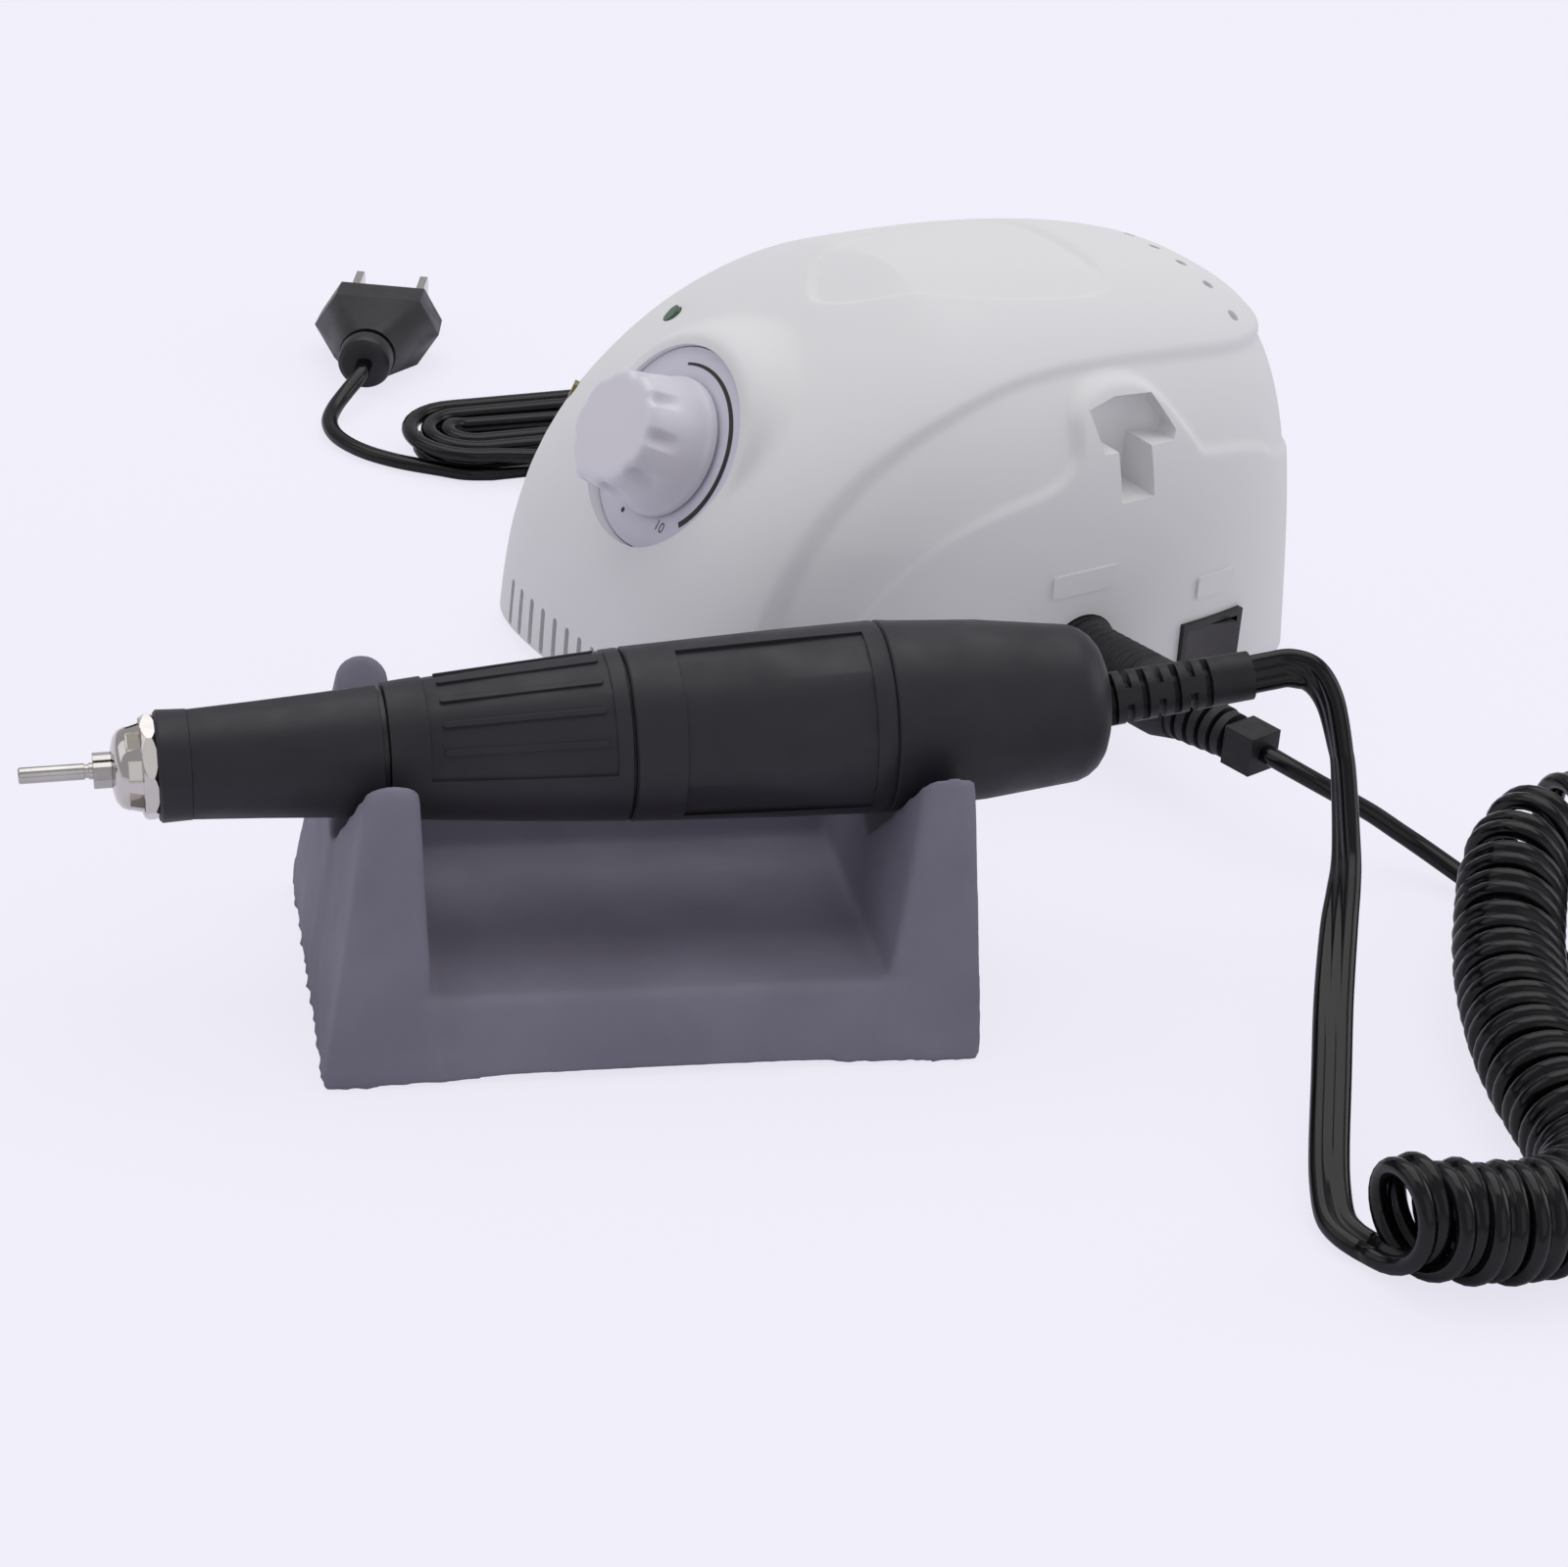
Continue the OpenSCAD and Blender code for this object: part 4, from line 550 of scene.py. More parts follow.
def soft_touch_coat(name, low, high):
    """Soft-touch lacquer over plastic: it spreads the light and has a fine grain."""
    material, tree, shader, place = start_finish(
        name, {"IOR": 1.5, "Specular IOR Level": 0.42, "Sheen Weight": 0.03, "Sheen Roughness": 0.5})
    cover(tree, shader, blotches(tree, place, 14, low, high), uneven_gloss(tree, place, 6, 0.44, 0.58),
          grain(tree, place, 0.35, 0.012, rounded(tree, 0.25)))
    return material


def black_nylon(name, colour, gloss):
    """Nylon from an etched mould: half matt, with a fine even grain."""
    material, tree, shader, place = start_finish(name, {"IOR": 1.53})
    cover(tree, shader, blotches(tree, place, 8, colour, colour), uneven_gloss(tree, place, 4, *gloss),
          grain(tree, place, 0.5, 0.02, rounded(tree, 0.25)))
    return material


def printed_film(name, low, high):
    """Printed plastic film: even, smooth and half matt."""
    material, tree, shader, place = start_finish(name, {"IOR": 1.5})
    cover(tree, shader, blotches(tree, place, 12, low, high), uneven_gloss(tree, place, 8, 0.3, 0.4),
          grain(tree, place, 1.2, 0.004))
    return material


def tinted_lens(name, colour):
    """Acrylic dyed through: light enters it, and its face shines."""
    material, tree, shader, place = start_finish(
        name, {"IOR": 1.49, "Transmission Weight": 0.5, "Roughness": 0.18, "Coat Weight": 0.4})
    cover(tree, shader, blotches(tree, place, 2, colour, colour),
          relief=grain(tree, place, 0.8, 0.02, rounded(tree, 0.3)))
    return material


# %% [markdown]
# ## Rubber and PVC
# The cradle is cast rubber: matt, cloudy and slightly dusty, with pores from the mould. The cords are soft
# PVC, which is smooth and shiny, and the strain reliefs and feet are a duller black rubber.

# %% Rubber and PVC


def cast_rubber(name, low, high):
    """Cast rubber: matt and cloudy, with pale dust in its pores."""
    material, tree, shader, place = start_finish(name, {"IOR": 1.52, "Specular IOR Level": 0.35})
    clouds = blotches(tree, place, 22, low, high, 6.0)
    specks = add(tree, "ShaderNodeTexNoise", {"Scale": per_mm(1.1), "Detail": 2.0}, {"Vector": place})
    dust = add(tree, "ShaderNodeMapRange", {"From Min": 0.66, "From Max": 0.8, "To Min": 0.0, "To Max": 0.18},
               {"Value": specks.outputs[0]})
    colour = add(tree, "ShaderNodeMix", {7: from_hex("#8E8C98")}, {0: dust.outputs[0], 6: clouds},
                 data_type="RGBA")
    hollows = grain(tree, place, 9, 0.25, rounded(tree, 0.5))
    cover(tree, shader, colour.outputs[2], uneven_gloss(tree, place, 10, 0.58, 0.78),
          grain(tree, place, 0.8, 0.03, hollows))
    return material


def black_rubber(name, low, high):
    """Moulded black rubber: dull, with a fine grain."""
    material, tree, shader, place = start_finish(name, {"IOR": 1.52, "Specular IOR Level": 0.4})
    cover(tree, shader, blotches(tree, place, 5, low, high), uneven_gloss(tree, place, 3, 0.42, 0.58),
          grain(tree, place, 0.5, 0.02, rounded(tree, 0.2)))
    return material


def soft_pvc(name, low, high):
    """Extruded soft PVC: smooth and shiny, with very shallow waves."""
    material, tree, shader, place = start_finish(name, {"IOR": 1.53, "Specular IOR Level": 0.3})
    cover(tree, shader, blotches(tree, place, 30, low, high), uneven_gloss(tree, place, 12, 0.13, 0.22),
          grain(tree, place, 1.6, 0.015))
    return material


# %% [markdown]
# ## Metals
# The collet nut is brass with a bright chrome plate, the shank is ground steel with fine lines round it, and
# the bearings are bright steel. Turned lines are bands along the axis of the handpiece.

# %% Metals
BANDS_PER_UNIT = 20     # bands that a wave texture of scale 1 draws in one unit


def bright_plate(name, colour, gloss):
    """Polished plate on brass: bright reflections that bend a little."""
    material, tree, shader, place = start_finish(name, {"Metallic": 1.0})
    cover(tree, shader, blotches(tree, place, 6, colour, colour), uneven_gloss(tree, place, 3, *gloss),
          grain(tree, place, 2.5, 0.01, rounded(tree, 0.15)))
    return material


def turned_metal(name, low, high, gloss, line_spacing):
    """Turned or ground steel: fine lines round the axis draw the highlight out."""
    material, tree, shader, place = start_finish(name, {"Metallic": 1.0})
    lines = add(tree, "ShaderNodeTexWave",
                {"Scale": per_mm(line_spacing) / BANDS_PER_UNIT, "Distortion": 1.5, "Detail": 2.0},
                {"Vector": place}, bands_direction="X")
    relief = add(tree, "ShaderNodeBump", {"Strength": 0.5, "Distance": 0.01 * MM},
                 {"Height": lines.outputs[1], "Normal": rounded(tree, 0.12)})
    cover(tree, shader, blotches(tree, place, 4, low, high), uneven_gloss(tree, place, 2, *gloss),
          relief.outputs[0])
    return material


# %% [markdown]
# ## Inside the box and the motor
# The pieces inside are seen only when the set is taken apart, but each still has its own finish: varnished
# iron sheets, enamelled copper wire, a green board, pressed carbon and a moulded coupling.

# %% Finishes of the inner pieces


def banded(name, low, high, spacing, direction, metallic, roughness):
    """Sheets or wires side by side, as bands of two tones with relief."""
    material, tree, shader, place = start_finish(name, {"Metallic": metallic, "Roughness": roughness})
    bands = add(tree, "ShaderNodeTexWave", {"Scale": per_mm(spacing) / BANDS_PER_UNIT, "Distortion": 0.3},
                {"Vector": place}, bands_direction=direction)
    relief = add(tree, "ShaderNodeBump", {"Strength": 0.8, "Distance": 0.15 * MM},
                 {"Height": bands.outputs[1]})
    cover(tree, shader, two_tone(tree, bands.outputs[1], low, high), relief=relief.outputs[0])
    return material


def circuit_green(name):
    """Green solder mask: glossy, with paler fields of copper under it."""
    material, tree, shader, place = start_finish(name, {"IOR": 1.55, "Roughness": 0.3})
    tracks = add(tree, "ShaderNodeTexVoronoi", {"Scale": per_mm(5)}, {"Vector": place}, distance="MANHATTAN")
    cover(tree, shader, two_tone(tree, tracks.outputs[0], "#2E6B44", "#1F5233", 0.4, 0.5),
          relief=grain(tree, place, 1, 0.02))
    return material


# %% [markdown]
# ## One finish for each material slot
# The record of the part names a material slot for each piece, so the finishes are kept under those names.

# %% Finishes
finishes = {
    "cream_abs": moulded_abs("polished_abs", "#E9E6EC", "#EEECF1", (0.12, 0.2), 0.5),
    "base_abs": moulded_abs("textured_abs", "#DAD8DD", "#E0DEE3", (0.4, 0.5), 0.3),
    "knob_abs": moulded_abs("satin_abs", "#DFDDE5", "#E4E2EA", (0.3, 0.4), 0.35),
    "printed_plate": printed_film("plate_film", "#D8D6E2", "#DEDCE8"),
    "grey_plastic": soft_touch_coat("soft_touch_coat", "#1F1D23", "#242228"),
    "black_plastic": black_nylon("black_nylon", "#141417", (0.32, 0.46)),
    "rocker_plastic": black_nylon("rocker_nylon", "#3A3838", (0.38, 0.5)),
    "coupling_plastic": black_nylon("coupling_nylon", "#5F7C92", (0.4, 0.5)),
    "green_lens": tinted_lens("green_lens", "#3F7A4C"),
    "amber_lens": tinted_lens("amber_lens", "#8A7A32"),
    "cradle_rubber": cast_rubber("cast_rubber", "#777483", "#827F8E"),
    "foot_rubber": black_rubber("foot_rubber", "#2A2A2D", "#323236"),
    "black_rubber": black_rubber("relief_rubber", "#111114", "#17171B"),
    "cord_pvc": soft_pvc("soft_pvc", "#0A0A0C", "#0E0E10"),
    "steel": turned_metal("ground_steel", "#A9A6A4", "#B5B2B0", (0.26, 0.36), 0.3),
    "bright_steel": turned_metal("bright_steel", "#BDBAB6", "#C8C5C1", (0.16, 0.24), 0.5),
    "chromed_brass": bright_plate("chrome_plate", "#CFCBC6", (0.07, 0.13)),
    "brass_blade": bright_plate("nickel_plate", "#D6D3CE", (0.18, 0.26)),
    "iron_core": banded("iron_sheets", "#3C3E43", "#5A5D63", 0.6, "Z", 0.7, 0.45),
    "copper": banded("copper_wire", "#7C4526", "#C07A48", 0.5, "Z", 0.8, 0.35),
    "board": circuit_green("solder_mask"),
    "carbon": black_nylon("pressed_carbon", "#202022", (0.5, 0.6)),
}
print("finishes:", len(finishes))

# %% [markdown]
# ## Smooth skins on the CAD pieces
# The CAD meshes come with every facet apart. A few geometry nodes weld the points that coincide and shade
# each piece smooth, except across edges that turn more sharply than the facets of a curve do.

# %% Weld and smooth
WELD = 0.002            # millimetres


def smoothing_group(name, sharp_angle):
    """Geometry nodes that weld a mesh and shade it smooth, except across edges sharper than an angle."""
    tree = bpy.data.node_groups.new(name, "GeometryNodeTree")
    tree.interface.new_socket("Geometry", in_out="INPUT", socket_type="NodeSocketGeometry")
    tree.interface.new_socket("Geometry", in_out="OUTPUT", socket_type="NodeSocketGeometry")
    entry = add(tree, "NodeGroupInput")
    weld = add(tree, "GeometryNodeMergeByDistance", {"Distance": WELD * MM}, {"Geometry": entry.outputs[0]})
    smooth = add(tree, "GeometryNodeSetShadeSmooth", {"Shade Smooth": True}, {"Geometry": weld.outputs[0]})
    angle = add(tree, "GeometryNodeInputMeshEdgeAngle")
    sharp = add(tree, "FunctionNodeCompare", {1: math.radians(sharp_angle)}, {0: angle.outputs[0]},
                operation="GREATER_THAN")
    edges = add(tree, "GeometryNodeSetShadeSmooth", {"Shade Smooth": False},
                {"Geometry": smooth.outputs[0], "Selection": sharp.outputs[0]}, domain="EDGE")
    add(tree, "NodeGroupOutput", links={0: edges.outputs[0]})
    return tree


FACET_SHARP = 28        # degrees
smooth_curves = smoothing_group("smooth_curves", FACET_SHARP)

for row in frame["record"]["subparts"]:
    piece = nodes[row["node"]]
    finish = finishes[row["material_slot"]]
    if not piece.data.materials:
        piece.data.materials.append(finish)
    for slot in piece.material_slots:
        slot.material = finish
    imported_normals = piece.data.attributes.get("custom_normal")
    if imported_normals:
        piece.data.attributes.remove(imported_normals)
    piece.modifiers.new("smooth", "NODES").node_group = smooth_curves
print("dressed", len(nodes), "CAD pieces")

# %% [markdown]
# ## Upper housing: the skin
# The housing is the piece with the most shape. It is a dome whose plan is a squarish oval at the foot and
# rounder near the top. The skin is a grid of angles and levels, fine enough for soft creases: the top shell
# ends in an arc, a hollow band runs below it, and a flatter panel with an arch stands in each side.

# %% Sizes and outlines of the housing
BOX_WIDTH, BOX_HEIGHT, BOX_FRONT, BOX_REAR = 95, 72, 53, 75     # front and rear from the widest section
FOOT_HEIGHT, BOX_WALL = 2, 4.6
# Two powers for the outline in each direction: the first keeps it upright, the second rounds its top.
FRONT_SHAPE, REAR_SHAPE, SIDE_SHAPE, PANEL_SHAPE = (3.06, 1.08), (11.35, 1.38), (4, 1.83), (5.2, 1.9)
PLAN_FOOT, PLAN_TOP = 4.56, 2.32        # how square the plan is at the foot and at the top
PANEL_HALF, PANEL_FROM = 44.9, 19       # how far out the panel stands, and how far from the middle it starts
PANEL_REAR_INSET = 0.6
BAND_DEPTH, BAND_UNDER_PANEL = 1.5, 0.3
SHELL_EDGE_SOFTNESS, PANEL_EDGE_SOFTNESS = 2.6, 1.7
SKIN_ANGLES, SKIN_LEVELS = 560, 176
STEEPEST = 88           # degrees: the last ring of the skin, close to the top
THINNEST = 0.3          # no reach gets smaller than this near the top
SHELL_CREST, SHELL_TOP = 18, 60.7       # where the shell's edge is highest
SHELL_REACH = 66        # from the crest to the foot at the front
SHELL_STEPS = 24

# %% Edges of the shell and of the panel
# Both edges are drawn as places along the box and heights.
shell_edge = [(SHELL_CREST - SHELL_REACH, -20)]
for i in range(SHELL_STEPS + 1):
    share = 1 - i / SHELL_STEPS
    shell_edge.append((SHELL_CREST - SHELL_REACH * share, SHELL_TOP * (1 - share ** 2.45) ** 0.41))
shell_edge += [(30, 60.2), (42, 59), (56, 57), (90, 52.2)]
panel_edge = [(-46, -1), (-41, 14), (-35.4, 23), (-28.6, 31.3), (-24.2, 35.2), (-19.6, 38.4), (-14.3, 40.9),
              (-5.8, 43.3), (4.1, 44.9), (9, 46.3), (12.4, 49), (13.4, 52.4), (14.2, 55.2), (16.4, 57.5),
              (19.6, 58.7), (23.4, 59), (27.4, 58.5), (31.2, 56.8), (34, 54.1), (36.4, 50.9), (38.8, 47.8),
              (40.8, 45.6), (48, 44.4), (56, 42.4), (64, 38.6), (90, 34)]
panel_edge = [(-47, -20)] + [tuple(p) for p in smooth_line(panel_edge, 4)]


# %% Outlines of the dome


def soft_step(x):
    """From 0 to 1 with soft ends."""
    x = np.clip(x, 0, 1)
    return x * x * (3 - 2 * x)


def taper(k, shape):
    """Share of the full reach that is left at a share of the height."""
    return (1 - k ** shape[0]) ** (1 / shape[1])


def dome_reaches(k):
    """Reach of the dome to the front, the rear and each side at a share of its height."""
    return [size * taper(k, shape) for size, shape in
            ((BOX_FRONT, FRONT_SHAPE), (BOX_REAR, REAR_SHAPE), (BOX_WIDTH / 2, SIDE_SHAPE))]


def plan_shape(k):
    """How square the plan is at a share of the height: 2 is an oval, and more is squarer."""
    return PLAN_FOOT + (PLAN_TOP - PLAN_FOOT) * k


def around(k, a, front, rear, half):
    """Places round the box at a share of its height, from the reach to the front, rear and side."""
    bend = 2 / plan_shape(k)
    u = np.where(np.cos(a) < 0, front, rear) * np.sign(np.cos(a)) * np.abs(np.cos(a)) ** bend
    return u, half * np.sign(np.sin(a)) * np.abs(np.sin(a)) ** bend


def above_edge(u, z, edge):
    """How far places lie above an edge that is drawn over the length and height of the box."""
    nearest = np.full(u.shape, 1e9)
    for (u0, z0), (u1, z1) in zip(edge, edge[1:]):
        du, dz = u1 - u0, z1 - z0
        t = np.clip(((u - u0) * du + (z - z0) * dz) / (du * du + dz * dz), 0, 1)
        nearest = np.minimum(nearest, np.hypot(u - u0 - t * du, z - z0 - t * dz))
    over = z > np.interp(u, [p[0] for p in edge], [p[1] for p in edge], left=-1e9)
    return np.where(over, nearest, -nearest)


# %% [markdown]
# ## Upper housing: the grid
# Angles and levels are spread so that the cells of the grid are all about as large, measured along the skin.
# Three skins are worked out at each place: the shell, the band under its edge and the side panel. Soft
# steps across the two edges choose between them, and the width of a step is the softness of the crease.

# %% Angles and levels of the skin
EVEN_AT = 0.3           # share of the height at which the angles are spread evenly
FINE_ANGLES, FINE_LEVELS = 7201, 4000

fine = np.linspace(0, 2 * math.pi, FINE_ANGLES)
fine_u, fine_v = around(EVEN_AT, fine, BOX_FRONT, BOX_REAR, BOX_WIDTH / 2)
run = np.concatenate([[0], np.cumsum(np.hypot(np.diff(fine_u), np.diff(fine_v)))])
angles = np.interp(np.linspace(0, run[-1], SKIN_ANGLES, endpoint=False), run, fine)

fine = np.sin(np.linspace(math.asin(FOOT_HEIGHT / BOX_HEIGHT), math.radians(STEEPEST), FINE_LEVELS))
inward = np.max([np.abs(np.diff(reach)) for reach in dome_reaches(fine)], axis=0)
run = np.concatenate([[0], np.cumsum(np.hypot(inward, BOX_HEIGHT * np.diff(fine)))])
levels = np.interp(np.linspace(0, run[-1], SKIN_LEVELS), run, fine)

# %% Shell, band and panel as one skin
k, a = levels[:, None], angles[None, :]
front, rear, half = dome_reaches(k)
panel = PANEL_HALF * taper(k, PANEL_SHAPE)
band_half = np.minimum(half - BAND_DEPTH, panel - BAND_UNDER_PANEL)
z = np.broadcast_to(BOX_HEIGHT * k, (SKIN_LEVELS, SKIN_ANGLES))
shell_u, shell_v = around(k, a, front, rear, half)
band_u, band_v = around(k, a, *(np.maximum(reach, THINNEST) for reach in
                                (front - BAND_DEPTH, rear - BAND_DEPTH, band_half)))
panel_u, panel_v = around(k, a, front, np.maximum(rear - PANEL_REAR_INSET, THINNEST), panel)

on_shell = soft_step(above_edge(shell_u, z, shell_edge) / SHELL_EDGE_SOFTNESS + 0.5)
on_panel = soft_step(-above_edge(shell_u, z, panel_edge) / PANEL_EDGE_SOFTNESS + 0.5)
on_panel = on_panel * soft_step((np.abs(shell_v) - PANEL_FROM) / PANEL_EDGE_SOFTNESS + 0.5)
u = on_shell * shell_u + (1 - on_shell) * (on_panel * panel_u + (1 - on_panel) * band_u)
v = on_shell * shell_v + (1 - on_shell) * (on_panel * panel_v + (1 - on_panel) * band_v)
print("skin grid:", z.size, "places")

# %% [markdown]
# ## Upper housing: the pad and the dial's boss
# A shallow pad is sunk in the top, and its edge fades out at the rear corners. The dial sits on a round
# boss that flows into the dome, so the skin is lifted along the axis of the dial wherever the boss is higher.

# %% Pad in the top
PAD_DEPTH, PAD_SOFTNESS, PAD_FADE, PAD_FADE_AT = 1.0, 2.0, 15, (40, 20)
PAD_FRONT, PAD_LENGTH, PAD_HALF = -13, 43, 18.6
PAD_STEPS = 20
BOSS_RADIUS, BOSS_RIM, BOSS_SHOULDER, BOSS_SLOPE = 21.8, 1.0, 3.4, 2.3
BOSS_FILLET, RIM_FILLET = 3.2, 0.6      # softness where the boss meets the dome, and at its rim
FILLET_BEFORE, FILLET_OVER = 2, 3       # it grows from inside the boss's radius, over this length
BOSS_REACH, BOSS_BACK = 32, -26         # the boss lifts nothing beyond this radius or behind this height
DIAL_IN_BOX = Vector((-39.9, 0, 44.3))
DIAL_LEAN = 27

pad_edge = [(-80, -1), (PAD_FRONT - 0.1, -1)]
for t in np.linspace(0, 1, PAD_STEPS) ** 2:
    pad_edge.append((PAD_FRONT + PAD_LENGTH * t, PAD_HALF * (1 - (1 - t) ** 2.2) ** 0.6))
pad_edge += [(33, 17.8), (35.5, 15.4), (37, 11), (37.6, 5), (37.7, -1), (120, -1)]

inside_pad = -above_edge(u, np.abs(v), pad_edge)
to_corner = np.hypot(u - PAD_FADE_AT[0], np.abs(v) - PAD_FADE_AT[1])
sunk = PAD_DEPTH * soft_step(inside_pad / PAD_SOFTNESS + 0.5) * soft_step(to_corner / PAD_FADE)
z = z - np.where(z > BOX_HEIGHT / 2, sunk, 0)

# %% Boss of the dial
dial_up = np.array([math.sin(math.radians(DIAL_LEAN)), 0, math.cos(math.radians(DIAL_LEAN))])
dial_out = np.array([-math.cos(math.radians(DIAL_LEAN)), 0, math.sin(math.radians(DIAL_LEAN))])
skin = np.stack([u, v, z], axis=-1)
seen_from_dial = skin - np.array(DIAL_IN_BOX)
height = seen_from_dial @ dial_out
radius = np.hypot(seen_from_dial @ dial_up, seen_from_dial[..., 1])
beyond = radius - (BOSS_RADIUS - BOSS_SHOULDER)
shoulder = np.where(beyond < BOSS_SHOULDER, BOSS_SLOPE * np.maximum(beyond, 0) ** 2 / (2 * BOSS_SHOULDER),
                    BOSS_SLOPE * (beyond - BOSS_SHOULDER / 2))
boss = BOSS_RIM - shoulder
fillet = RIM_FILLET + BOSS_FILLET * soft_step((radius - BOSS_RADIUS + FILLET_BEFORE) / FILLET_OVER)
lifted = np.maximum(height, boss) + np.maximum(fillet - np.abs(height - boss), 0) ** 2 / (4 * fillet)
near_dial = (radius < BOSS_REACH) & (height > BOSS_BACK)
skin = skin + np.where(near_dial, lifted - height, 0)[..., None] * dial_out
print("skin reaches up to", round(float(skin[..., 2].max()), 1), "mm")

# %% [markdown]
# ## Upper housing: solids and cutters
# The skin becomes a solid, and cutters take out the hollow inside, the recess of the dial plate and every
# hole. A cutter is mostly the tight hull of a few points, so one function makes them all.

# %% Stacked solids
BOX_AT, BOX_TURN = Vector((56.4, 105.5, 0)), 22
in_box = Matrix.Translation(CRADLE_MIDDLE + BOX_AT) @ Matrix.Rotation(math.radians(BOX_TURN), 4, "Z")


def turned(x=0.0, y=0.0, z=0.0):
    """A turn about X, then Y, then Z, in degrees."""
    return (Matrix.Rotation(math.radians(z), 4, "Z") @ Matrix.Rotation(math.radians(y), 4, "Y")
            @ Matrix.Rotation(math.radians(x), 4, "X"))


def stacked(name, rings, place=Matrix()):
    """A closed solid of the box through rings of points, with a point in the middle of each end."""
    count = len(rings[0])
    last = (len(rings) - 1) * count
    points = [tuple(p) for one in rings for p in one]
    points += [tuple(np.mean(rings[0], axis=0)), tuple(np.mean(rings[-1], axis=0))]
    faces = side_faces(rings)
    faces += [((j + 1) % count, j, len(points) - 2) for j in range(count)]
    faces += [(last + j, last + (j + 1) % count, len(points) - 1) for j in range(count)]
    mesh = bpy.data.meshes.new(name)
    mesh.from_pydata([(in_box @ place @ Vector(p)) * MM for p in points], [], faces)
    return put_in_scene(name, mesh)


# %% Cutters


def hulls(name, groups):
    """Separate tight hulls, each round its own points at its own place, as one cutter."""
    made = bmesh.new()
    for place, points in groups:
        corners = [made.verts.new((in_box @ place @ Vector(p)) * MM) for p in points]
        shell = bmesh.ops.convex_hull(made, input=corners)
        left_over = shell["geom_interior"] + shell["geom_unused"]
        spare = {v for v in left_over if isinstance(v, bmesh.types.BMVert)}
        bmesh.ops.delete(made, geom=list(spare), context="VERTS")
    bmesh.ops.recalc_face_normals(made, faces=made.faces)
    mesh = bpy.data.meshes.new(name)
    made.to_mesh(mesh)
    made.free()
    return put_in_scene(name, mesh)


def disc(diameter, low, high, sides=48):
    """Points of a round bar along Z."""
    clocks = [2 * math.pi * i / sides for i in range(sides)]
    return [(diameter / 2 * math.cos(a), diameter / 2 * math.sin(a), z) for z in (low, high) for a in clocks]


def block(low, high):
    """Points of a block between two of its corners."""
    return [(x, y, z) for x in (low[0], high[0]) for y in (low[1], high[1]) for z in (low[2], high[2])]


# %% Cut and join


def combine(piece, tool, operation="DIFFERENCE"):
    """Cut one solid with another, or join them, and drop the tool."""
    step = piece.modifiers.new(operation.lower(), "BOOLEAN")
    step.object, step.operation, step.solver = tool, operation, "MANIFOLD"
    bpy.context.view_layer.update()
    mesh = bpy.data.meshes.new_from_object(piece.evaluated_get(bpy.context.evaluated_depsgraph_get()))
    piece.modifiers.remove(step)
    piece.data = mesh
    bpy.data.objects.remove(tool)
    if not mesh.polygons:
        raise RuntimeError("nothing is left of " + piece.name)


# %% [markdown]
# ## Upper housing: where its fittings sit
# Rocker, socket, gland, lamps and dial sit on a skin that curves in two ways. Their places could be read off
# a finished mesh, but they are worked out from the same outlines as the skin, so they follow a change of it.

# %% Places of the fittings on the housing
ROCKER_AT, SOCKET_AT, GLAND_AT = (43.3, 9.6), (14.4, 15.3), (-5, 12)    # along the side, and height
SOCKET_TURN = 7.2
POWER_LENS_AT, OVERLOAD_LENS_AT = (23.8, 56.7), (34.6, 40.8)            # sideways on the front, and height
POWER_LENS_TURN, OVERLOAD_LENS_TURN = (0, 48, 150), (0, 70, 140)
SLOT_AT = 24.6          # middle of the holder slot, along the side


def panel_place(u, z):
    """Place on the side panel and how far the panel is turned there, in degrees."""
    k = z / BOX_HEIGHT
    m = plan_shape(k)
    front, rear, _ = dome_reaches(k)

    def out(at):
        reach = front if at < 0 else rear - PANEL_REAR_INSET
        return PANEL_HALF * taper(k, PANEL_SHAPE) * (1 - (abs(at) / reach) ** m) ** (1 / m)
    return Vector((u, -out(u), z)), math.degrees(math.atan((out(u - 2) - out(u + 2)) / 4))


def front_place(v, z):
    """Place on the front of the dome, so far from its middle and so high."""
    k = z / BOX_HEIGHT
    m = plan_shape(k)
    front, _, half = dome_reaches(k)
    return Vector((-front * (1 - (abs(v) / half) ** m) ** (1 / m), v, z))


rocker_at, rocker_turn = panel_place(*ROCKER_AT)
in_rocker = Matrix.Translation(rocker_at) @ turned(90, 0, rocker_turn)
in_socket = Matrix.Translation((SOCKET_AT[0], -PANEL_HALF, SOCKET_AT[1])) @ turned(90, 0, SOCKET_TURN)
in_gland = Matrix.Translation((GLAND_AT[0], PANEL_HALF + 0.02, GLAND_AT[1])) @ turned(-90)
in_power_lens = Matrix.Translation(front_place(*POWER_LENS_AT)) @ turned(*POWER_LENS_TURN)
in_overload_lens = Matrix.Translation(front_place(*OVERLOAD_LENS_AT)) @ turned(*OVERLOAD_LENS_TURN)
in_dial = Matrix.Translation(DIAL_IN_BOX) @ turned(0, 0, -90) @ turned(90 - DIAL_LEAN)
upright_slot = Matrix.Translation((SLOT_AT, 0, 0)) @ turned(90)
print("rocker is turned by", round(rocker_turn, 1), "degrees")

# %% [markdown]
# ## Upper housing: plaques and hollow
# Two small blank plaques stand on the side panel. The housing is moulded with an even wall, so a smaller
# dome is cut out of it. Beforehand that dome loses the places where the wall behind the holder slot and the
# wall behind the dial stay thick.

# %% Plaques and hollow
PLAQUES = [(13.8, 28.7, 13.6), (43.3, 21.9, 8.8)]       # along the panel, height, length
PLAQUE_CORNER, PLAQUE_STRAIGHT = 0.8, 1.2               # corner radius, and half the height without it
PLAQUE_ROOT, PLAQUE_FACE = -2.4, 0.4
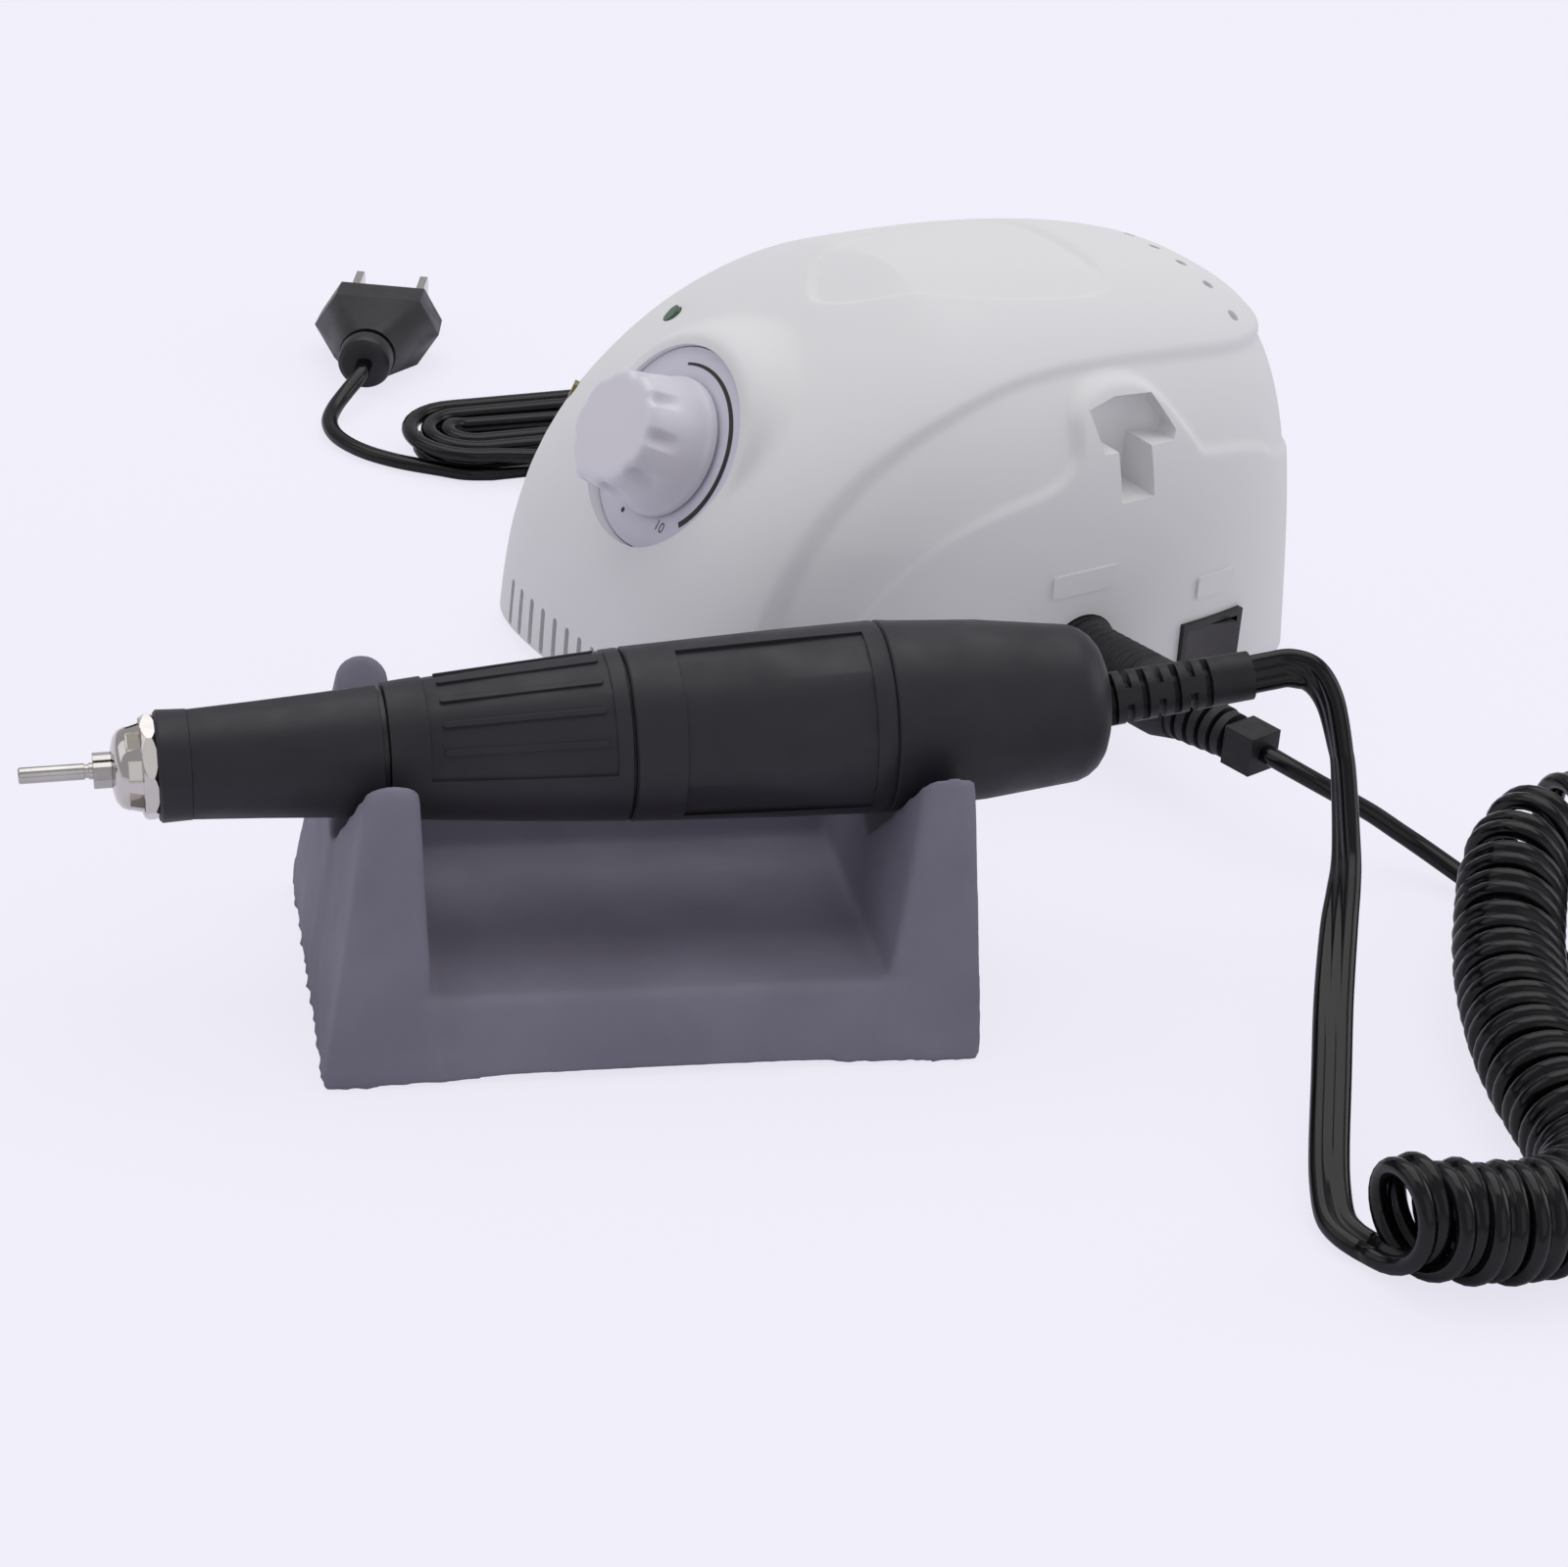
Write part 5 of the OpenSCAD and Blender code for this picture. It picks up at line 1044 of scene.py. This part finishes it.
# The slot's face and floor are measured from the middle of the box, and the others are heights.
SLOT_FACE, SLOT_FLOOR, SLOT_LOW, SLOT_MID = 38, 33.9, 40.8, 48.9
SLOT_WALL_HALF, SLOT_WALL_UNDER, SLOT_WALL_HEIGHT, SLOT_WALL = 11.3, 3, 21, 2.4
DIAL_WALL_WIDTH = 38
HOLLOW_RINGS = 26
COARSER = 5             # the hollow uses each fifth angle of the skin

housing = stacked("housing_shell", skin)

corner_turns = np.linspace(0, 2 * math.pi, 17)
for at_u, at_z, length in PLAQUES:
    at, turn = panel_place(at_u, at_z)
    straight = length / 2 - PLAQUE_CORNER
    spots = [(x + PLAQUE_CORNER * math.cos(t), y + PLAQUE_CORNER * math.sin(t), z)
             for x in (-straight, straight) for y in (-PLAQUE_STRAIGHT, PLAQUE_STRAIGHT)
             for t in corner_turns for z in (PLAQUE_ROOT, PLAQUE_FACE)]
    combine(housing, hulls("plaque", [(Matrix.Translation(at) @ turned(90, 0, turn), spots)]), "UNION")

hollow_height = BOX_HEIGHT - BOX_WALL
hollow_rings = []
for k in np.sin(np.linspace(math.asin(0.5 / hollow_height), math.radians(STEEPEST), HOLLOW_RINGS)):
    reaches = [max(reach - BOX_WALL, THINNEST) for reach in dome_reaches(k)]
    hollow_u, hollow_v = around(k, angles[::COARSER], *reaches)
    hollow_rings.append([(x, y, hollow_height * k) for x, y in zip(hollow_u, hollow_v)])
hollow = stacked("hollow", hollow_rings)
slot_wall = block((SLOT_AT - SLOT_WALL_HALF, -60, SLOT_LOW - SLOT_WALL_UNDER),
                  (SLOT_AT + SLOT_WALL_HALF, -SLOT_FLOOR + SLOT_WALL, SLOT_LOW + SLOT_WALL_HEIGHT))
combine(hollow, hulls("kept_walls", [(Matrix(), slot_wall)]))
combine(hollow, hulls("kept_dial_wall", [(in_dial, disc(DIAL_WALL_WIDTH, -BOX_WALL, 12))]))
combine(housing, hollow)
print("hollow housing:", len(housing.data.vertices), "points")

# %% [markdown]
# ## Upper housing: the openings
# The mould leaves all openings in one shot. Here many hulls are cut at once, because that is quick, but two
# hulls of one cutter must not touch. So what opens into another opening is cut in a second and a third round.

# %% Sizes of the openings
SOCKET_HOLE, GLAND_HOLE, LENS_HOLE, POT_HOLE = 14.3, 8, 3.7, 9.4
ROCKER_HOLE = (7.1, 6.3)                # half the length and half the height
DIAL_RECESS, DIAL_RECESS_DEPTH = 34.8, 1
LENS_POCKET, POCKET_FROM, POCKET_TO = 4.9, -13.2, -6.1
INSIDE, OUTSIDE = -8, 12                # how far a cutter reaches into the wall and out of it
SLOT_WIDE = [(-6.9, 49.2), (-8.4, 56), (-2.3, 57.1), (5.5, 56.4), (9.1, 50.3), (8.3, 48.9)]
SLOT_INNER = [(-3.6, 49.2), (-4.6, 55.6), (5.2, 56.1), (3.6, 49)]
SLOT_EDGE = 2           # how far the sloping part of the slot lies behind the face
NECK_FROM, NECK_TO = -3.9, 3.2          # sides of the narrow part below
GRILLE_SLOTS, GRILLE_SPACING, GRILLE_RADIUS, GRILLE_LOW, GRILLE_HIGH = 15, 4, 0.65, 2.8, 10
VENTS, VENT_SPACING, VENT_HOLE, VENT_LEAN = 7, 7.3, 2.2, 25
VENT_FROM_REAR, VENT_FROM_TOP = 16.5, 7
VENT_ROW_BEND = 0.012   # the row follows the dome: millimetres down for each square millimetre sideways
FOOT_AT = 0.05          # share of the height at which the opening of the foot is taken
FOOT_OPENING = (-6, 2.5)

# %% Cut the openings, first round
foot_reaches = [reach - BOX_WALL for reach in dome_reaches(FOOT_AT)]
foot_u, foot_v = around(FOOT_AT, angles[::COARSER], *foot_reaches)
sloping_slot = [(x, y, SLOT_FACE - SLOT_EDGE) for x, y in SLOT_WIDE]
sloping_slot += [(x, y, SLOT_FLOOR) for x, y in SLOT_INNER]
first_cuts = [
    (Matrix(), [(x, y, z) for z in FOOT_OPENING for x, y in zip(foot_u, foot_v)]),
    (in_dial, disc(DIAL_RECESS, -DIAL_RECESS_DEPTH, 19, 128)),
    (upright_slot, sloping_slot),
    (in_rocker, block((-ROCKER_HOLE[0], -ROCKER_HOLE[1], -6), (ROCKER_HOLE[0], ROCKER_HOLE[1], 14))),
    (in_socket, disc(SOCKET_HOLE, INSIDE, OUTSIDE)),
    (in_gland, disc(GLAND_HOLE, INSIDE, OUTSIDE)),
    (in_power_lens, disc(LENS_HOLE, INSIDE, 8)),
    (in_overload_lens, disc(LENS_HOLE, INSIDE, 8))]

grille_slot = [(-z + GRILLE_RADIUS * math.cos(t), GRILLE_RADIUS * math.sin(t), x)
               for z in (GRILLE_LOW, GRILLE_HIGH) for t in np.linspace(0, 2 * math.pi, 13)
               for x in (0, OUTSIDE)]
for i in range(GRILLE_SLOTS):
    sideways = (i - (GRILLE_SLOTS - 1) / 2) * GRILLE_SPACING
    first_cuts.append((Matrix.Translation((-BOX_FRONT - 2, sideways, 0)) @ turned(0, 90), grille_slot))

for i in range(VENTS):
    sideways = (i - (VENTS - 1) / 2) * VENT_SPACING
    vent_height = BOX_HEIGHT - VENT_FROM_TOP - VENT_ROW_BEND * sideways ** 2
    vent_at = (BOX_REAR - VENT_FROM_REAR, sideways, vent_height)
    in_vent = Matrix.Translation(vent_at) @ turned(0, VENT_LEAN) @ Matrix.Translation((0, 0, INSIDE))
    first_cuts.append((in_vent, disc(VENT_HOLE, 0, 14, 20)))
combine(housing, hulls("first_cuts", first_cuts))

# %% Cut the openings, second and third round
flat_slot = [(x, y, z) for x, y in SLOT_WIDE for z in (SLOT_FACE - SLOT_EDGE - 0.1, SLOT_FACE + OUTSIDE)]
combine(housing, hulls("second_cuts", [
    (in_dial, disc(POT_HOLE, -12, 8)),
    (upright_slot, flat_slot),
    (in_power_lens, disc(LENS_POCKET, POCKET_FROM, POCKET_TO)),
    (in_overload_lens, disc(LENS_POCKET, POCKET_FROM, POCKET_TO))]))
slot_neck = block((NECK_FROM, SLOT_LOW, SLOT_FLOOR), (NECK_TO, SLOT_MID + 3, 50))
combine(housing, hulls("slot_neck", [(upright_slot, slot_neck)]))
print("housing:", len(housing.data.vertices), "points")

# %% [markdown]
# ## Upper housing: its finish
# The housing has the glossy ABS of its CAD solid. Its soft creases are real shapes, so only edges that turn
# by more than 42 degrees, such as the rims of the holes, are shaded sharp.

# %% Dress the housing
MOULDING_SHARP = 42     # degrees
housing.data.materials.append(finishes["cream_abs"])
housing.modifiers.new("smooth", "NODES").node_group = smoothing_group("smooth_moulding", MOULDING_SHARP)
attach(housing, "root")
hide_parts("upper_housing")

# %% [markdown]
# ## Speed knob
# The knob is a moulded cone with a flat face. Short scallops for the fingers run out half way down its side,
# and a pointer rib stands in the place of one of them. A boolean would leave hard rims, so each ring of the
# cone is bent in and out instead.

# %% Sizes of the knob
KNOB_PROFILE = [(11.8, 0), (11.8, 1), (11.3, 2.4), (10.7, 5.5), (10.1, 8.8), (9.8, 11.2), (9.5, 12),
                (9, 12.45), (8.3, 12.6), (7.4, 12.6)]
KNOB_LIFT, KNOB_SIDES, SCALLOPS, POINTER_AT = 0.6, 360, 9, -163
SCALLOP_HALF, SCALLOP_DEPTH = 1.7, 1.3
SCALLOP_FROM, SCALLOP_RISE = 5.5, 5     # level where a scallop starts, and over which it gets deep
FACE_FROM, FACE_RISE = 10.4, 1.8        # near the face the scallops get shallower again
FACE_SHARE = 0.65
RIB_HALF, RIB_HEIGHT, RIB_FROM, RIB_RISE = 1.2, 0.9, 2, 7

# %% Knob with scallops
clocks = np.linspace(0, 2 * math.pi, KNOB_SIDES, endpoint=False)
from_pointer = (math.pi / 2 - clocks - math.radians(POINTER_AT) + math.pi) % (2 * math.pi) - math.pi
step = 2 * math.pi / SCALLOPS
from_scallop = (from_pointer + step / 2) % step - step / 2
knob_rings = []
for reach, level in smooth_line(KNOB_PROFILE, 6):
    scallop = np.maximum(1 - (from_scallop * reach / SCALLOP_HALF) ** 2, 0) ** 1.5
    scallop = scallop * (np.abs(from_pointer) > step / 2)
    rib = np.exp(-(from_pointer * reach / RIB_HALF) ** 2)
    shallower = 1 - FACE_SHARE * soft_step((level - FACE_FROM) / FACE_RISE)
    depth = SCALLOP_DEPTH * soft_step((level - SCALLOP_FROM) / SCALLOP_RISE) * shallower
    out = reach - depth * scallop + RIB_HEIGHT * rib * soft_step((level - RIB_FROM) / RIB_RISE)
    knob_rings.append([(x, y, level) for x, y in zip(out * np.cos(clocks), out * np.sin(clocks))])
knob = stacked("knob_shell", knob_rings, in_dial @ Matrix.Translation((0, 0, KNOB_LIFT)))
knob.data.materials.append(finishes["knob_abs"])
knob.modifiers.new("smooth", "NODES").node_group = smooth_curves
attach(knob, "knob")
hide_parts("speed_knob")
print("knob:", len(knob_rings), "rings")

# %% [markdown]
# ## Cradle
# The cradle is cast in one piece of soft rubber, so no edge of it is sharp. The CAD solid is meshed afresh
# in small cells and smoothed, and its lower edge gets the thin ragged flash that such a mould leaves.

# %% Soft cradle
CRADLE_CELL = 0.65      # millimetres
CRADLE_SMOOTHING = 5    # passes
FLASH = 0.55            # how far the flash stands out
FLASH_FOOT, FLASH_HEIGHT = 0.4, 1.5     # it is full below the first, and fades over the second
FLASH_WAVES, FLASH_TEETH = 0.45, 1.7    # how often it swells and how often it is torn, for each millimetre

cradle_mesh = nodes["cradle"].data.copy()
cradle = put_in_scene("cradle_rubber", cradle_mesh)
fresh = cradle.modifiers.new("fresh", "REMESH")
fresh.mode, fresh.voxel_size = "VOXEL", CRADLE_CELL * MM
soften = cradle.modifiers.new("soften", "SMOOTH")
soften.factor, soften.iterations = 0.5, CRADLE_SMOOTHING
bpy.context.view_layer.update()
cradle_mesh = bpy.data.meshes.new_from_object(cradle.evaluated_get(bpy.context.evaluated_depsgraph_get()))
cradle.modifiers.clear()
cradle.data = cradle_mesh
print("cradle:", len(cradle_mesh.vertices), "points")

# %% Flash along its foot
for vertex in cradle_mesh.vertices:
    spot = vertex.co / MM
    low = 1 - min(max(spot.z - FLASH_FOOT, 0) / FLASH_HEIGHT, 1)
    outward = Vector((vertex.normal.x, vertex.normal.y, 0))
    if low > 0 and outward.length > 0.3:
        swell, torn = noise.noise(spot * FLASH_WAVES), noise.noise(spot * FLASH_TEETH)
        ragged = max(swell * 1.6 + 0.1, 0) + max(torn, 0) * 0.5
        vertex.co += outward.normalized() * FLASH * low * low * ragged * MM
cradle_mesh.materials.clear()
cradle_mesh.materials.append(finishes["cradle_rubber"])
cradle_mesh.shade_smooth()
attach(cradle, "root")
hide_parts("cradle")
print("flash reaches up to", FLASH_FOOT + FLASH_HEIGHT, "mm")

# %% [markdown]
# ## The cords take the place of the CAD solids
# Each cord replaces the plain CAD solids of its stretch, which are hidden. The curls, the mains lead and
# the tie ride on the root, and the hanging stretch stays where it is drawn.

for cord in (drop_cord, curly_cord, mains_lead, hank_tie):
    cord.data.materials.append(finishes["cord_pvc"])
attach(hank_tie, "root")

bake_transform(drop_cord)
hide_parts("motor_cord_drop")

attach(curly_cord, "root")
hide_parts("motor_cord_curl", "motor_cord_lead")

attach(mains_lead, "root")
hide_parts("mains_cord_tail", "mains_hank", "mains_cord_end")

# %% [markdown]
# ## Print on the dial plate
# The plate carries a thin dark band that grows with the speed, a dot at the lowest setting and a plain
# number at the highest. A printed film has no thickness that the eye can see, so each mark is a skin of ink
# a few hundredths of a millimetre over the plate. It is a mesh, so it stays sharp from near by.

# %% Ink and places on the dial
INK_LIFT = 0.03


def on_dial(clock, radius, lift=INK_LIFT):
    """A place on the dial: degrees clockwise from its top, and millimetres from its middle."""
    a = math.radians(clock)
    return (in_box @ in_dial @ Vector((radius * math.sin(a), radius * math.cos(a), lift))) * MM


ink, ink_tree, ink_shader, ink_place = start_finish("printing_ink", {"Roughness": 0.45})
cover(ink_tree, ink_shader, blotches(ink_tree, ink_place, 1.5, "#1F2420", "#2A302B"))


def print_on_dial(name, mesh):
    """A mark of ink on the plate, from its mesh."""
    mesh.materials.clear()
    mesh.materials.append(ink)
    mark = put_in_scene(name, mesh)
    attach(mark, "root")


def strip(name, pairs):
    """A mesh between pairs of points."""
    mesh = bpy.data.meshes.new(name)
    faces = [(2 * i, 2 * i + 1, 2 * i + 3, 2 * i + 2) for i in range(len(pairs) - 1)]
    mesh.from_pydata([p for pair in pairs for p in pair], [], faces)
    return mesh


# %% Band and dot
BAND_START, BAND_END, BAND_STEPS = -22, 133, 60
BAND_RADIUS = 14.3
BAND_THIN, BAND_WIDE = 0.45, 1.05
DOT_CLOCK, DOT_RADIUS, DOT_SIZE, DOT_STEPS = -163, 13.6, 0.45, 12

band = []
for i in range(BAND_STEPS + 1):
    share = i / BAND_STEPS
    half = (BAND_THIN + (BAND_WIDE - BAND_THIN) * min(2 * share, 1)) / 2
    clock = BAND_START + (BAND_END - BAND_START) * share
    band.append((on_dial(clock, BAND_RADIUS - half), on_dial(clock, BAND_RADIUS + half)))
print_on_dial("speed_band", strip("speed_band", band))

dot = []
for i in range(DOT_STEPS + 1):
    a = math.pi * i / DOT_STEPS
    away, along = DOT_SIZE * math.cos(a), math.degrees(DOT_SIZE * math.sin(a) / DOT_RADIUS)
    dot.append((on_dial(DOT_CLOCK - along, DOT_RADIUS + away), on_dial(DOT_CLOCK + along, DOT_RADIUS + away)))
print_on_dial("lowest_dot", strip("lowest_dot", dot))
print("band of", round(BAND_END - BAND_START), "degrees")

# %% [markdown]
# ## Number at the end of the band
# Blender's own text could stay a text object, but it is turned into a mesh, which is laid on the plate like
# the band and the dot.

# %% Number at the end of the band
NUMBER_CLOCK, NUMBER_RADIUS, NUMBER_SIZE = 152, 13.4, 2.5
lettering = bpy.data.curves.new("highest_speed", "FONT")
lettering.body, lettering.align_x, lettering.align_y = "10", "CENTER", "CENTER"
lettering.size = NUMBER_SIZE
written = bpy.data.objects.new("highest_speed", lettering)
number_mesh = bpy.data.meshes.new_from_object(written)
bpy.data.objects.remove(written)
shift = Matrix.Translation((NUMBER_RADIUS * math.sin(math.radians(NUMBER_CLOCK)),
                            NUMBER_RADIUS * math.cos(math.radians(NUMBER_CLOCK)), INK_LIFT))
number_mesh.transform(Matrix.Scale(MM, 4) @ in_box @ in_dial @ shift)
print_on_dial("highest_speed", number_mesh)
print("number:", len(number_mesh.polygons), "faces")

# %% [markdown]
# ## Floor, light and background
# The set stands in a bright tent: a pale floor, soft light from above and white all round. The floor glows
# a little for the camera, so it looks evenly pale and still takes the soft shadows.

# %% Floor
WHITE = "#F4F2FD"
FLOOR_GLOW = 0.84
FLOOR_HALF, FLOOR_LEVEL = 4.0, -0.00002


def seen_directly(tree):
    """1 for what the camera sees, by itself or through something clear, and 0 for what only lights."""
    rays = add(tree, "ShaderNodeLightPath")
    return add(tree, "ShaderNodeMath", operation="MAXIMUM", links={
        0: rays.outputs["Is Camera Ray"], 1: rays.outputs["Is Transmission Ray"]}).outputs[0]


floor_material, floor_tree, floor_shader, _ = start_finish("pale_floor", {"Roughness": 0.9})
floor_shader.inputs["Base Color"].default_value = from_hex(WHITE)
share = add(floor_tree, "ShaderNodeMath", {1: FLOOR_GLOW}, {0: seen_directly(floor_tree)},
            operation="MULTIPLY")
glow = add(floor_tree, "ShaderNodeEmission", {"Color": from_hex(WHITE), "Strength": 1.0})
mixed = add(floor_tree, "ShaderNodeMixShader",
            links={0: share.outputs[0], 1: floor_shader.outputs[0], 2: glow.outputs[0]})
floor_output = next(n for n in floor_tree.nodes if n.type == "OUTPUT_MATERIAL")
floor_tree.links.new(mixed.outputs[0], floor_output.inputs["Surface"])

floor_mesh = bpy.data.meshes.new("floor")
floor_corners = [(x * FLOOR_HALF, y * FLOOR_HALF, FLOOR_LEVEL)
                 for x, y in ((-1, -1), (1, -1), (1, 1), (-1, 1))]
floor_mesh.from_pydata(floor_corners, [], [(0, 1, 2, 3)])
floor_mesh.materials.append(floor_material)
put_in_scene("floor", floor_mesh)
print("floor:", 2 * FLOOR_HALF, "m wide")

# %% [markdown]
# ## World and lamps
# The tent round the set is the world: white for the camera, and dimmer as a light. A large lamp overhead
# and three weaker ones at the sides and in front are the lit walls, and large lamps give soft shadows.

# %% World and lamps
WORLD_COLOUR, WORLD_LIGHT = "#F4F2FA", 0.45
LAMPS_AIM = Vector((0, 0, 0.03))
# Name, place in metres, width in metres and power in watts.
LAMPS = [("overhead", (0.05, 0.35, 1.1), 1.2, 6.0), ("left_window", (-0.9, 0.1, 0.7), 0.8, 1.2),
         ("right_window", (1.1, -0.05, 0.55), 0.7, 1.9), ("front_fill", (0.2, -1.0, 0.6), 0.9, 1.0)]

world = bpy.data.worlds.new("tent")
world.use_nodes = True
world_tree = world.node_tree
world_tree.nodes.clear()
light = add(world_tree, "ShaderNodeBackground", {"Color": from_hex(WORLD_COLOUR), "Strength": WORLD_LIGHT})
white = add(world_tree, "ShaderNodeBackground", {"Color": from_hex(WHITE), "Strength": 1.0})
mixed = add(world_tree, "ShaderNodeMixShader",
            links={0: seen_directly(world_tree), 1: light.outputs[0], 2: white.outputs[0]})
add(world_tree, "ShaderNodeOutputWorld", links={0: mixed.outputs[0]})
bpy.context.scene.world = world

for name, place, size, power in LAMPS:
    lamp_data = bpy.data.lights.new(name, "AREA")
    lamp_data.size = size
    lamp_data.energy = power
    lamp = put_in_scene(name, lamp_data)
    lamp.location = place
    lamp.rotation_euler = (LAMPS_AIM - Vector(place)).to_track_quat("-Z", "Y").to_euler()
bpy.context.scene.view_settings.view_transform = "Standard"
print("lamps:", [name for name, *_ in LAMPS])
